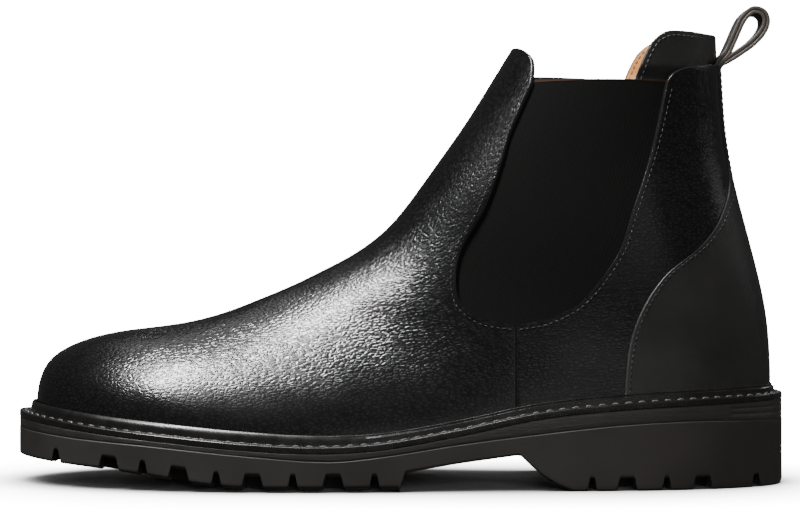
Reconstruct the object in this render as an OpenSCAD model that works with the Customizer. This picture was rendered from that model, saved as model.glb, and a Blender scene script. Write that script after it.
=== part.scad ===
// A left chelsea boot on a one-piece lug sole, built as the leather, elastic, cork, steel and
// rubber pieces it is made of. Millimetres, +Z up, toe towards -X, outer (lateral) side
// towards -Y. The origin is on the floor under the middle of the sole.
//
// The upper is laid out on a last, a smooth surface through slanted sections. A point of the
// last is [s, t]: s runs from the top opening (0) to the toe tip (SECTIONS), and t runs round a
// section from the front ridge (0) to the back (1), with the outer side negative. Each leather
// piece is a patch of the last between two depths, cut along seams that are drawn in side view.

/* [Upper] */
// Thickness of the outer leather
leather_t = 1.8; // [1.4:0.1:1.8]
// Thickness of the elastic and of the stiffeners under the leather
core_t = 1.3; // [1.0:0.1:1.3]
// Thickness of the lining leather
lining_t = 1.1; // [0.8:0.1:1.1]
// Gap kept between neighbouring layers
layer_gap = 0.3; // [0.3:0.05:0.4]
// How far the elastic runs under the leather
gore_lap = 7; // [5:1:8]
// Half the width of the strip up the back of the boot
backstay_half = 7; // [6:0.5:9]

/* [Pull loop] */
// Width of the pull loop's strap
loop_w = 14; // [10:1:18]

/* [Sole] */
// Width of the welt beyond the upper, along the sides
welt_side = 6; // [5:0.5:7]
// Width of the welt beyond the upper, at the toe
welt_toe = 6.8; // [6:0.2:8]
// Width of the welt beyond the upper, at the back of the heel
welt_heel = 5.4; // [5:0.2:7]
// Thickness of the welt strip
welt_t = 2.6; // [2.2:0.1:2.8]
// Height of the welt's raised storm lip
lip_h = 3.6; // [3:0.1:4.2]
// Thickness of the storm lip
lip_t = 1.6; // [1.2:0.1:2]
// Thickness of the welt thread
thread_d = 1.1; // [0.8:0.1:1.2]
// Depth of the gaps between the lugs
lug_depth = 4.8; // [4:0.2:6.4]
// How far the gaps between the lugs run in from the edge
lug_reach = 20; // [14:1:22]

/* [Inside the bottom] */
// Thickness of the insole board
insole_t = 2.8; // [2:0.1:3]
// Thickness of the sock liner
sock_t = 1.2; // [1:0.1:1.5]
// Length of the steel shank
shank_l = 105; // [90:5:120]
// Width of the steel shank
shank_w = 14; // [12:1:18]
// Thickness of the steel shank
shank_t = 1.1; // [0.8:0.1:1.2]

/* [Hidden] */

LATERAL = -1;
MEDIAL = 1;

// Sections of the last, from the top opening to the toe tip: the front ridge's X and Z, the
// back's X and Z, the half widths outward and inward, and the roundness at the front and back
// (0.5 is an ellipse, less is squarer).
LAST = [
    [  57.0, 191.0,  126.5, 193,  31.0, 31.0,  0.50, 0.50],
    [  45.5, 173.0,  127.5, 173,  32.5, 32.0,  0.50, 0.50],
    [  36.0, 157.5,  128.2, 155,  33.5, 33.0,  0.50, 0.50],
    [  26.5, 142.0,  129.5, 137,  34.0, 33.5,  0.50, 0.50],
    [  16.0, 127.5,  132.5, 120,  34.5, 34.0,  0.50, 0.48],
    [   6.5, 114.0,  137.0, 103,  35.5, 35.0,  0.50, 0.46],
    [  -1.5, 103.5,  141.5,  86,  36.0, 35.5,  0.50, 0.44],
    [  -9.0,  96.5,  145.5,  69,  36.0, 35.5,  0.50, 0.42],
    [ -17.5,  90.5,  147.0,  52,  36.0, 35.5,  0.50, 0.40],
    [ -26.0,  86.0,  147.2,  36,  36.5, 35.5,  0.50, 0.38],
    [ -34.0,  82.0,  146.0,  20,  38.0, 35.5,  0.50, 0.34],
    [ -43.0,  77.5,  136.0,   6,  39.5, 34.5,  0.50, 0.28],
    [ -53.0,  73.5,  104.0,   4,  41.0, 35.0,  0.50, 0.22],
    [ -65.0,  68.5,   62.0,   2,  43.5, 38.0,  0.50, 0.20],
    [ -79.0,  64.0,   22.0,   0,  47.0, 43.0,  0.48, 0.20],
    [ -94.0,  61.5,  -18.0,  -3,  50.0, 47.0,  0.46, 0.20],
    [-109.0,  60.0,  -58.0,  -3,  49.0, 48.0,  0.44, 0.20],
    [-122.0,  57.5,  -92.0,   0,  43.0, 43.5,  0.44, 0.20],
    [-133.0,  53.5, -118.0,   6,  33.5, 34.0,  0.46, 0.20],
    [-140.5,  48.5, -134.0,  12,  23.0, 23.5,  0.48, 0.22],
    [-144.0,  42.0, -142.0,  19,  13.0, 13.0,  0.50, 0.25],
    [-145.4,  35.0, -145.0,  24,   5.5,  5.5,  0.50, 0.30],
    [-145.6,  28.5, -145.6,  27.5, 0.3,  0.3,  0.50, 0.35]
];
SECTIONS = len(LAST) - 1;
TOE_SWING = 6;             // how far the toe's middle swings inward
TOE_SWING_FROM = -40;      // where the swing begins, on the front ridge
TOE_SWING_OVER = 105;      // length over which it grows

// Seams and edges in side view, [x, z]
TAB_EDGE = [[47, 171.8], [49.5, 170], [51.5, 167], [52, 163], [51.5, 157]];
// The elastic, down its front edge, round its foot and up its rear edge
GORE = [
    [51.5, 157], [43, 137.5], [39.5, 125.5], [33, 108], [24, 92], [22, 80], [24, 71], [32, 65],
    [45, 63], [58, 65.5], [71, 73], [84, 90], [90, 107], [98, 131], [104, 157]
];
GORE_CORNER = 6;           // point of GORE where its foot begins
GORE_FOOT = 8;             // point of GORE over the side seam
GORE_END = len(GORE) - 1;
QUARTER_TOP = [[104, 157], [106, 160], [111, 162.5], [119, 164], [128.7, 165.3]];
COUNTER_SEAM = [
    [86, 33.5], [88.5, 55], [94, 70], [103, 82.5], [116, 92.5], [124.5, 102.5], [129.5, 114]
];
TAB_FRONT = [[91, 147], [92.3, 158], [95, 166], [98.5, 172.3]];
TAB_TOP = [[98.5, 172.3], [102.5, 175.7], [108, 177.3], [126, 177]];
GRIP_FRONT = [[112, 62], [104, 80], [99, 110], [94.5, 147], [96, 162], [100.5, 171.5]];
GRIP_TOP = [[100.5, 171.5], [108.5, 175.8], [126, 176]];
GRIP_FOOT = [[112, 62], [146.5, 62]];
STIFFENER_FRONT = [[82, 33.3], [85, 50], [93, 64], [106, 76]];
STIFFENER_TOP = [[106, 76], [122, 82], [144, 83]];
LINING_TOP = [[102, 146.5], [116, 146.5], [129.5, 146.5]];
PUFF_X = -108;             // rear edge of the toe puff, at the welt
PUFF_SECTION = 16.3;       // and on the front ridge
SIDE_SEAM_X = 45;
SEAM_GAP = 0.3;            // gap between two pieces that meet at a seam
BACK_SEAM = 0.9995;        // t at which a lining stops short of the seam up the back
COUNTER_ROWS = 14;         // rows of the counter along its curved seam
BACKSTAY_ROWS = 5;         // rows of the counter up the backstay
HINGE_SECTION = 5;         // section where the front of the shaft bends forward
HINGE_GAP = 0.011;         // half the gap there, in sections
FOOT_RIDGE = 11.4;         // section where the vamp's row from the elastic's foot meets the ridge
SEAM_RIDGE = 12.4;         // and the row from the lower end of the side seam

// Heights along the sole, [x, z]
WELT_TOP = [
    [-153, 28.5], [-120, 24.3], [-90, 21.3], [-60, 18.6], [-32, 17.3], [-7, 18.6],
    [23, 23.7], [54, 30], [85, 33.2], [116, 34.8], [153, 36]
];
RUBBER_TOP = [
    [-153, 22], [-126, 19.3], [-95, 17.2], [-56, 13.7], [-27, 11.8], [-7, 13.5],
    [23, 18], [54, 21.8], [85, 25], [116, 26.3], [153, 25.5]
];
TREAD = [
    [-153, 10.5], [-132, 8.3], [-114, 6.6], [-95, 4.3], [-78, 1.8], [-63, 0.3], [-50, 0], [0, 0]
];
WAIST = [[2.5, 7.5], [23, 10.8], [46, 13.8]];
BREAST = [[46, 13.8], [50, 10], [54.5, 6], [60, 2.6], [66, 0]];
HEEL_BACK = [[149, 0], [153, 2]];
// Gaps between the lugs along each edge, [x, width at the ground]
FRONT_GAPS = [
    [-133, 4], [-111, 8.4], [-97.5, 4], [-83.5, 8.4], [-69, 4], [-55.3, 8.4], [-40, 4],
    [-24.8, 8.4], [-9.2, 4]
];
HEEL_GAPS = [[73.6, 4], [87, 8.4], [102.3, 4], [116.5, 8.4], [138.5, 4]];
WIDE_GAP = 6;              // gaps wider than this taper less
WIDE_TAPER = 0.62;         // width at the top of a gap, as a part of its width at the ground
NARROW_TAPER = 0.35;
POCKET_WALL = 4;           // rubber between the gaps and the sunk middle of the tread

// Pull loop in side view, [x, z]
LOOP_OUTER = [
    [128.9, 168], [130.6, 173.5], [132.6, 179], [135.6, 185], [139, 188.6], [143, 189.4],
    [146.4, 187.4], [147.5, 183.5], [146, 178.5], [142.3, 174], [137.5, 170.6], [133.6, 167.6],
    [131, 166]
];
LOOP_INNER = [
    [133.8, 172.4], [135.8, 178], [138, 182.9], [140.8, 185.6], [143.6, 185], [144.4, 182],
    [142.2, 177.8], [138.2, 174.6]
];

// Depths of the layers, from the outer face of the leather
CORE_OUT = -(leather_t + layer_gap);
CORE_IN = CORE_OUT - core_t;
LINING_OUT = CORE_IN - layer_gap;
LINING_IN = LINING_OUT - lining_t;
GRIP_OUT = LINING_IN - layer_gap;
GRIP_IN = GRIP_OUT - lining_t;
LEATHER_RISE = 0.3;        // height of the leather's lower edge above the welt
LINING_RISE = 1.5;         // height of the lining's lower edge above the welt
CORE_RISE = 0.9;           // height of the puff's and the stiffener's lower edge above the welt
PLATE_GAP = 0.1;           // gap between stacked pieces of the bottom

// ---------- curves ----------

// A point on a smooth curve through a list, at position u in steps of the list
function spline_at(list, u) =
    let (
        i = min(max(floor(u), 0), len(list) - 2),
        f = u - i,
        b = list[i],
        c = list[i + 1],
        a = i > 0 ? list[i - 1] : 2 * b - c,
        d = i + 2 < len(list) ? list[i + 2] : 2 * c - b
    )
    0.5 * (2 * b + (c - a) * f + (2 * a - 5 * b + 4 * c - d) * f * f
        + (3 * b - a - 3 * c + d) * f * f * f);

// The running length of a list of points
function lengths(list, i = 0, sum = 0) =
    i == len(list) - 1
        ? [sum]
        : concat([sum], lengths(list, i + 1, sum + norm(list[i + 1] - list[i])));

// The point of a polyline at a given running length
function point_at(list, run, want, i = 0) =
    i >= len(list) - 2 || run[i + 1] >= want
        ? let (step = max(run[i + 1] - run[i], 0.000001), f = (want - run[i]) / step)
          list[i] + f * (list[i + 1] - list[i])
        : point_at(list, run, want, i + 1);

// n + 1 points at even steps along the smooth curve through a list
function along(list, n) =
    let (
        fine = [for (k = [0 : 6 * (len(list) - 1)]) spline_at(list, k / 6)],
        run = lengths(fine),
        total = run[len(run) - 1]
    )
    [for (k = [0 : n]) point_at(fine, run, total * k / n)];

// Two runs of points joined end to end, with the shared point once
function join(a, b) = concat(a, [for (k = [1 : len(b) - 1]) b[k]]);

function reversed(list) = [for (k = [len(list) - 1 : -1 : 0]) list[k]];

// Smooth rise from 0 to 1
function ease(u) = let (c = min(max(u, 0), 1)) c * c * (3 - 2 * c);

// Height of a smooth profile at x
function height(profile, x) =
    let (
        last = len(profile) - 2,
        i = max([for (k = [0 : last]) if (k == 0 || profile[k][0] <= x) k]),
        a = profile[i],
        b = profile[i + 1],
        h = b[0] - a[0],
        f = (x - a[0]) / h,
        before = i > 0 ? profile[i - 1] : a,
        after = i < last ? profile[i + 2] : b,
        slope_a = (b[1] - before[1]) / (b[0] - before[0]),
        slope_b = (after[1] - a[1]) / (after[0] - a[0])
    )
    a[1] * (2 * f * f * f - 3 * f * f + 1) + b[1] * (3 * f * f - 2 * f * f * f)
        + h * slope_a * (f * f * f - 2 * f * f + f) + h * slope_b * (f * f * f - f * f);

// ---------- the last ----------

// The section at s, from a cubic B-spline through the list of sections
function section(s) =
    let (
        i = min(max(floor(s), 0), SECTIONS - 1),
        f = s - i,
        b = LAST[i],
        c = LAST[i + 1],
        a = i > 0 ? LAST[i - 1] : 2 * b - c,
        d = i + 2 <= SECTIONS ? LAST[i + 2] : 2 * c - b
    )
    ((1 - f) ^ 3 * a + (3 * f ^ 3 - 6 * f * f + 4) * b
        + (1 + 3 * f + 3 * f * f - 3 * f ^ 3) * c + f ^ 3 * d) / 6;

// A point on the last, before it is centred across the origin
function raw_point(s, t) =
    let (
        r = section(s),
        w = t > 1 ? t - 2 : t < -1 ? t + 2 : t,
        a = sin(90 * abs(w)) ^ 2,
        p = r[6],
        q = r[7],
        crown = (p + q) ^ (p + q) / (p ^ p * q ^ q),
        half = (w < 0 ? r[4] : r[5]) * crown * a ^ p * max(1 - a, 0) ^ q,
        middle = TOE_SWING * ease((TOE_SWING_FROM - r[0]) / TOE_SWING_OVER)
    )
    [
        r[0] + a * (r[2] - r[0]),
        middle + (w < 0 ? -half : half),
        r[1] + a * (r[3] - r[1])
    ];

// The outward normal of the last
function last_normal(s, t) =
    let (
        e = 0.01,
        ds = raw_point(min(s + e, SECTIONS), t) - raw_point(s - e, t),
        dt = raw_point(s, t + e) - raw_point(s, t - e),
        n = cross(dt, ds)
    )
    n / norm(n);

// A point at a depth from the outer face of the leather
function last_point(s, t, depth) = raw_point(s, t) + depth * last_normal(s, t) - [0, MIDDLE_Y, 0];

// The section whose line in side view passes through a point
function section_through(p, low = 0, high = SECTIONS, turns = 26) =
    turns == 0
        ? (low + high) / 2
        : let (
              mid = (low + high) / 2,
              r = section(mid),
              above = (r[2] - r[0]) * (p[1] - r[1]) - (r[3] - r[1]) * (p[0] - r[0]) > 0
          )
          above ? section_through(p, low, mid, turns - 1)
                : section_through(p, mid, high, turns - 1);

// [s, t] of a point given in side view
function on_last(p, side) =
    let (
        s = section_through(p),
        r = section(s),
        line = [r[2] - r[0], r[3] - r[1]],
        a = ((p[0] - r[0]) * line[0] + (p[1] - r[1]) * line[1]) / (line * line),
        t = asin(sqrt(min(max(a, 0), 1))) / 90
    )
    [s, side * t];

// n + 1 points of the last along a seam drawn in side view
function seam(list, n, side) = [for (p = along(list, n)) on_last(p, side)];

// The same for pieces that wrap the back, where t runs on past 1 on the outer side
function wrapped(list) = [for (p = list) [p[0], p[1] < 0 ? 2 + p[1] : p[1]]];

// The lower edge of a piece from x0 to x1, a little above the welt, closer together towards x1
function feather(x0, x1, n, side, rise) =
    [for (k = [0 : n])
        let (x = x0 + (x1 - x0) * sin(90 * k / n))
        on_last([x, height(WELT_TOP, x) + rise], side)];

// Points a to b of a list
function slice(list, a, b) = [for (k = [a : b]) list[k]];

// A side-view line moved sideways, away from the elastic
function widened(list, distance) =
    [for (k = [0 : len(list) - 1])
        let (d = list[min(k + 1, len(list) - 1)] - list[max(k - 1, 0)])
        list[k] + distance * [d[1], -d[0]] / norm(d)];

// A seam that runs round to the back, from the inner side to the outer side, with 2n + 1 points
// closer together at the back
function around(list, n) =
    let (
        fine = [for (p = along(list, 4 * n)) let (q = on_last(p, MEDIAL)) [q[1], q[0]]],
        t0 = fine[0][0],
        half = [
            for (k = [0 : n])
                let (t = 1 - (1 - t0) * (1 - k / n) ^ 1.3)
                [lookup(t, fine), t]
        ]
    )
    join(half, [for (k = [n : -1 : 0]) [half[k][0], 2 - half[k][1]]]);

// ---------- patches of the last ----------

// A grid of [s, t] that fills the space between four edges
function patch(bottom, top, left, right) =
    let (n = len(bottom) - 1, m = len(left) - 1)
    [for (j = [0 : m]) let (v = j / m)
        [for (i = [0 : n]) let (u = i / n)
            (1 - v) * bottom[i] + v * top[i] + (1 - u) * left[j] + u * right[j]
                - (1 - u) * (1 - v) * bottom[0] - u * (1 - v) * bottom[n]
                - (1 - u) * v * top[0] - u * v * top[n]]];

// n + 1 even steps between two values of [s, t]
function steps(a, b, n) = [for (k = [0 : n]) a + (b - a) * k / n];

// A grid of points on the last as a closed solid between two depths. The grid is walked so
// that its columns turn to the outer side as its rows go down; flip is for the other hand.
module skin(grid, depth_in, depth_out, flip = false) {
    rows = len(grid);
    cols = len(grid[0]);
    layer = rows * cols;
    points = [
        for (depth = [depth_in, depth_out])
            for (row = grid)
                for (p = row)
                    last_point(p[0], p[1], depth)
    ];
    rim = concat(
        [for (i = [0 : cols - 2]) i],
        [for (j = [0 : rows - 2]) j * cols + cols - 1],
        [for (i = [cols - 1 : -1 : 1]) (rows - 1) * cols + i],
        [for (j = [rows - 1 : -1 : 1]) j * cols]
    );
    faces = concat(
        [for (j = [0 : rows - 2]) for (i = [0 : cols - 2])
            each quad(j * cols + i, j * cols + i + 1, (j + 1) * cols + i + 1, (j + 1) * cols + i)],
        [for (j = [0 : rows - 2]) for (i = [0 : cols - 2])
            each quad(layer + (j + 1) * cols + i, layer + (j + 1) * cols + i + 1,
                layer + j * cols + i + 1, layer + j * cols + i)],
        [for (k = [0 : len(rim) - 1])
            let (a = rim[k], b = rim[(k + 1) % len(rim)])
            each quad(a, layer + a, layer + b, b)]
    );
    polyhedron(points, flip ? faces : [for (f = faces) reversed(f)]);
}

// A four-sided face as two triangles
function quad(a, b, c, d) = [[a, b, c], [a, c, d]];

// ---------- outline of the sole ----------

EDGE_STEPS = 38;           // points along one side of the sole
TOE_X = LAST[SECTIONS][0];
HEEL_X = 147;

// x positions along the sole, closer together at both ends
function edge_x(k) =
    TOE_X + (HEEL_X - TOE_X) * (1 - cos(180 * k / EDGE_STEPS)) / 2;

// The upper's lower edge in plan at height rise above the welt, round from the toe tip along
// the outer side to the heel and back along the inner side
function foot_ring(rise) = [
    for (k = [0 : 2 * EDGE_STEPS - 1])
        let (
            x = edge_x(k <= EDGE_STEPS ? k : 2 * EDGE_STEPS - k),
            p = on_last([x, height(WELT_TOP, x) + rise], k <= EDGE_STEPS ? LATERAL : MEDIAL),
            q = k == 0 ? raw_point(SECTIONS, 0) : raw_point(p[0], k == EDGE_STEPS ? 1 : p[1])
        )
        [q[0], q[1]]
];

// The outward direction at each point of a ring
function ring_normals(ring) = [
    for (k = [0 : len(ring) - 1])
        let (
            n = len(ring),
            d = ring[(k + 1) % n] - ring[(k + n - 1) % n]
        )
        [-d[1], d[0]] / -norm(d)
];

// Width of the welt at x
function welt_width(x) =
    welt_side + (welt_toe - welt_side) * ease((-100 - x) / 45)
        + (welt_heel - welt_side) * ease((x - 90) / 55);

RAW_RING = foot_ring(0);
RING_OUT = ring_normals(RAW_RING);
RAW_EDGE = [for (k = [0 : len(RAW_RING) - 1]) RAW_RING[k] + welt_width(RAW_RING[k][0]) * RING_OUT[k]];
// Across the sole, the middle between its widest points
MIDDLE_Y = (max([for (p = RAW_EDGE) p[1]]) + min([for (p = RAW_EDGE) p[1]])) / 2;
RING = [for (p = RAW_RING) p - [0, MIDDLE_Y]];
SOLE_EDGE = [for (p = RAW_EDGE) p - [0, MIDDLE_Y]];

// The sole's edge moved inward by a distance
function inset(distance) =
    [for (k = [0 : len(SOLE_EDGE) - 1]) SOLE_EDGE[k] - distance * RING_OUT[k]];

// A ring about the foot scaled towards the middle, for the pieces inside the boot
function inner_ring(scale_x, scale_y) = [for (p = RING) [p[0] * scale_x, p[1] * scale_y]];

// A closed strip swept round the sole: profiles holds one list of points per station
module ring_sweep(profiles) {
    n = len(profiles);
    m = len(profiles[0]);
    points = [for (profile = profiles) each profile];
    faces = [
        for (k = [0 : n - 1]) for (i = [0 : m - 1])
            let (k2 = (k + 1) % n, i2 = (i + 1) % m)
            each quad(k * m + i, k2 * m + i, k2 * m + i2, k * m + i2)
    ];
    polyhedron(points, faces);
}

// A plate inside a ring, with its top and bottom following the welt's top
module plate(ring, z_top, z_bottom) {
    n = len(ring);
    half = n / 2;
    points = [
        for (z = [z_bottom, z_top])
            for (p = ring)
                [p[0], p[1], height(WELT_TOP, p[0]) + z]
    ];
    strips = [
        for (k = [0 : half - 1])
            let (a = k, b = k + 1, c = n - k - 1, d = (n - k) % n)
            each (k == 0 ? [[a, b, c]] : k == half - 1 ? [[a, b, d]] : quad(a, b, c, d))
    ];
    faces = concat(
        [for (f = strips) reversed(f)],
        [for (f = strips) [for (i = f) i + n]],
        [for (k = [0 : n - 1]) let (b = (k + 1) % n) each quad(k, b, b + n, k + n)]
    );
    polyhedron(points, [for (f = faces) reversed(f)]);
}

// The sole's outline cut to the side view's outline
module sole_slab(side_outline, edge) {
    intersection() {
        linear_extrude(60) polygon(edge);
        across(side_outline, 140);
    }
}

// A side-view outline pushed through the boot
module across(outline, width) {
    rotate([90, 0, 0])
        linear_extrude(width, center = true) polygon(outline);
}

function profile_points(profile, x0, x1, n) =
    [for (k = [0 : n]) let (x = x0 + (x1 - x0) * k / n) [x, height(profile, x)]];

function shifted(list, dz) = [for (p = list) p + [0, dz]];

// ---------- edges of the leather pieces ----------

TOE_ROWS = 20;             // rows of the vamp along the welt
SEAM_ROWS = 4;             // rows along the side seam
GORE_ROWS = 28;            // rows along the front of the elastic

// The front edge of the elastic, from its top to its foot
function gore_front(side) = seam(slice(GORE, 0, GORE_FOOT), GORE_ROWS, side);

// t where the hinge section meets the front edge of the elastic
function hinge_t(side) = lookup(HINGE_SECTION, gore_front(side));

// Rear edge of the vamp below the hinge: along the elastic, down the side seam and along the
// welt to the toe
function vamp_rear(side, rise) =
    let (
        below = [for (p = gore_front(side)) if (p[0] > HINGE_SECTION + 0.15) p],
        foot_z = GORE[GORE_FOOT][1],
        welt_z = height(WELT_TOP, SIDE_SEAM_X) + rise
    )
    join(
        concat([[HINGE_SECTION + HINGE_GAP, hinge_t(side)]], below),
        join(
            seam([[SIDE_SEAM_X, foot_z], [SIDE_SEAM_X, welt_z]], SEAM_ROWS, side),
            feather(SIDE_SEAM_X, TOE_X + 0.2, TOE_ROWS, side, rise)
        )
    );

// Rear edge of the front of the shaft, from its tab down to the hinge
function shaft_rear(side) =
    let (above = [for (p = gore_front(side)) if (p[0] < HINGE_SECTION - 0.15) p])
    concat(
        join(seam(TAB_EDGE, 6, side), above),
        [[HINGE_SECTION - HINGE_GAP, hinge_t(side)]]
    );

// A piece that crosses the front ridge, from its outer edge, the ridge and its inner edge
function bridged(lateral, middle, medial, columns) = [
    for (k = [0 : len(middle) - 1])
        join(steps(lateral[k], middle[k], columns), steps(middle[k], medial[k], columns))
];

function vamp_grid(columns, rise) =
    let (
        lateral = vamp_rear(LATERAL, rise),
        first = len(lateral) - 1 - SEAM_ROWS - TOE_ROWS,
        low = [SECTIONS - 0.05, 0],
        from = HINGE_SECTION + HINGE_GAP,
        upper = [for (k = [0 : first]) [from + (FOOT_RIDGE - from) * (k / first) ^ 2, 0]],
        seam_end = [SEAM_RIDGE, 0],
        lower = join(steps([FOOT_RIDGE, 0], seam_end, SEAM_ROWS), steps(seam_end, low, TOE_ROWS)),
        middle = join(upper, lower)
    )
    bridged(lateral, middle, vamp_rear(MEDIAL, rise), columns);

function shaft_grid(columns) =
    let (lateral = shaft_rear(LATERAL), rows = len(lateral) - 1)
    bridged(
        lateral,
        steps([1.06, 0], [HINGE_SECTION - HINGE_GAP, 0], rows),
        shaft_rear(MEDIAL),
        columns
    );

// The front edge of a quarter, up the side seam and the rear of the elastic to a height
function quarter_front(side, top, rows, rise) =
    let (
        seam_x = SIDE_SEAM_X + SEAM_GAP,
        foot_z = GORE[GORE_FOOT][1],
        welt_z = height(WELT_TOP, seam_x) + rise,
        rear = concat([[seam_x, foot_z]], slice(GORE, GORE_FOOT + 1, GORE_END)),
        cut = concat([for (p = rear) if (p[1] < top[1] - 1) p], [top])
    )
    join(seam([[seam_x, welt_z], [seam_x, foot_z]], SEAM_ROWS, side), seam(cut, rows, side));

// t of the backstay's edge at s
function backstay_t(s) =
    let (
        r = section(s),
        p = r[6],
        q = r[7],
        crown = (p + q) ^ (p + q) / (p ^ p * q ^ q)
    )
    acos((backstay_half / (r[4] * crown)) ^ (0.5 / q)) / 90;

// The edge of the heel counter, up its curved seam and the backstay, moved back by a gap
function counter_edge(side, gap) =
    let (
        low = seam([for (p = COUNTER_SEAM) p + [gap, 0]], COUNTER_ROWS, side),
        from = low[COUNTER_ROWS][0] - 0.4,
        to = on_last(QUARTER_TOP[4], side)[0]
    )
    concat(low, [
        for (k = [0 : BACKSTAY_ROWS])
            let (s = from + (to - from) * k / BACKSTAY_ROWS)
            [s, side * (backstay_t(s) + gap / 100)]
    ]);

// The outer leather between the elastic and the heel counter
function quarter_grid(side, columns) =
    let (
        rows = COUNTER_ROWS + BACKSTAY_ROWS + 1 - SEAM_ROWS,
        left = quarter_front(side, QUARTER_TOP[0], rows, LEATHER_RISE),
        right = counter_edge(side, 0),
        top_line = seam(QUARTER_TOP, 4 * columns, side),
        top_end = right[len(right) - 1][1],
        top = [
            for (k = [0 : columns])
                let (t = left[len(left) - 1][1] * (1 - k / columns) + top_end * k / columns)
                [lookup(side * t, [for (p = top_line) [side * p[1], p[0]]]), t]
        ],
        x0 = SIDE_SEAM_X + SEAM_GAP,
        x1 = COUNTER_SEAM[0][0],
        bottom = concat(
            [
                for (k = [0 : columns - 1])
                    let (x = x0 + (x1 - x0) * k / columns)
                    on_last([x, height(WELT_TOP, x) + LEATHER_RISE], side)
            ],
            [right[0]]
        )
    )
    patch(bottom, top, left, right);

// The lining of a quarter, from the elastic to the seam up the back
function quarter_lining_grid(side, columns, rows) =
    let (
        left = quarter_front(side, LINING_TOP[0], rows, LINING_RISE),
        to_back = function (list) [
            for (p = slice(around(list, columns), 0, columns))
                [p[0], side * min(p[1], BACK_SEAM)]
        ],
        bottom = to_back(heel_line(SIDE_SEAM_X + SEAM_GAP, LINING_RISE)),
        top = to_back(LINING_TOP)
    )
    patch(bottom, top, left, steps(bottom[columns], top[columns], rows + SEAM_ROWS));

function gore_grid(side, columns, rows) =
    let (
        wide = widened(GORE, gore_lap),
        top_z = GORE[0][1],
        left = reversed(seam(slice(wide, 0, GORE_CORNER), rows, side)),
        right = seam(slice(wide, GORE_FOOT, GORE_END), rows, side),
        bottom = seam(slice(wide, GORE_CORNER, GORE_FOOT), columns, side),
        top = seam([[wide[0][0], top_z], [wide[GORE_END][0], top_z]], columns, side)
    )
    patch(
        bottom,
        join([left[rows]], join(slice(top, 0, columns - 1), [top[columns], right[rows]])),
        left,
        right
    );

// A piece that wraps the back, from its front edge, its top edge and its lower edge
function wrap_grid(front, top, bottom, columns, rows) =
    patch(
        around(bottom, columns),
        around(top, columns),
        seam(front, rows, MEDIAL),
        wrapped(seam(front, rows, LATERAL))
    );

// A line in side view just above the welt, from x0 to the heel
function heel_line(x0, rise) =
    [for (k = [0 : 12])
        let (x = x0 + (HEEL_X - x0) * k / 12)
        [x, height(WELT_TOP, x) + rise]];

// ---------- upper ----------

module vamp() {
    color("#1c1b1b") skin(vamp_grid(8, LEATHER_RISE), -leather_t, 0, true);
}

module vamp_shaft() {
    color("#1c1b1b") skin(shaft_grid(7), -leather_t, 0, true);
}

module quarter(side) {
    color("#1c1b1b") skin(quarter_grid(side, 11), -leather_t, 0, side == LATERAL);
}

module gore(side) {
    color("#2b2726") skin(gore_grid(side, 10, 14), CORE_IN, CORE_OUT, side == LATERAL);
}

module heel_counter() {
    columns = 13;
    left = counter_edge(MEDIAL, SEAM_GAP);
    right = wrapped(counter_edge(LATERAL, SEAM_GAP));
    rows = len(left) - 1;
    bottom = around(heel_line(COUNTER_SEAM[0][0] + SEAM_GAP, LEATHER_RISE), columns);
    top = steps(left[rows], right[rows], 2 * columns);
    color("#141314") skin(patch(bottom, top, left, right), -leather_t, 0);
}

module heel_tab() {
    grid = wrap_grid(TAB_FRONT, TAB_TOP, [[91, 147], [129, 147]], 11, 7);
    color("#161515") skin(grid, LINING_IN, LINING_OUT);
}

module heel_grip() {
    color("#b98f5e") skin(wrap_grid(GRIP_FRONT, GRIP_TOP, GRIP_FOOT, 11, 12), GRIP_IN, GRIP_OUT);
}

module toe_puff() {
    lateral = feather(PUFF_X, TOE_X + 0.2, 10, LATERAL, CORE_RISE);
    medial = feather(PUFF_X, TOE_X + 0.2, 10, MEDIAL, CORE_RISE);
    middle = steps([PUFF_SECTION, 0], [SECTIONS - 0.05, 0], 10);
    color("#d8d2c2") skin(bridged(lateral, middle, medial, 8), CORE_IN, CORE_OUT, true);
}

module heel_stiffener() {
    welt_line = heel_line(STIFFENER_FRONT[0][0], CORE_RISE);
    grid = wrap_grid(concat([welt_line[0]], slice(STIFFENER_FRONT, 1, 3)), STIFFENER_TOP, welt_line, 12, 7);
    color("#cdbfa0") skin(grid, CORE_IN, CORE_OUT);
}

module vamp_lining() {
    color("#c79a66") skin(vamp_grid(6, LINING_RISE), LINING_IN, LINING_OUT, true);
}

module vamp_shaft_lining() {
    color("#c79a66") skin(shaft_grid(5), LINING_IN, LINING_OUT, true);
}

module quarter_lining(side) {
    color("#c79a66")
        skin(quarter_lining_grid(side, 10, 9), LINING_IN, LINING_OUT, side == LATERAL);
}

// ---------- pull loop ----------

// A smooth closed outline through a list
function closed_curve(list, per_step) =
    let (n = len(list), ring = concat([list[n - 1]], list, [list[0], list[1]]))
    [for (k = [0 : n * per_step - 1]) spline_at(ring, 1 + k / per_step)];

module pull_loop() {
    color("#1a1918")
        translate([0, -MIDDLE_Y, 0]) rotate([90, 0, 0])
            linear_extrude(loop_w, center = true)
                difference() {
                    polygon(closed_curve(LOOP_OUTER, 4));
                    polygon(closed_curve(LOOP_INNER, 4));
                }
}

// The strap's end, stitched in between the leather and the lining at the back
module pull_loop_tail() {
    back = 0.08;
    top = on_last([128.7, 164.8], MEDIAL)[0];
    low = on_last([130, 141], MEDIAL)[0];
    grid = [
        for (k = [0 : 5])
            [for (i = [-4 : 4]) [low + (top - low) * k / 5, 1 + back * i / 4]]
    ];
    color("#1a1918") skin(grid, CORE_IN, CORE_OUT - 0.1);
}

// ---------- bottom ----------

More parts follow.
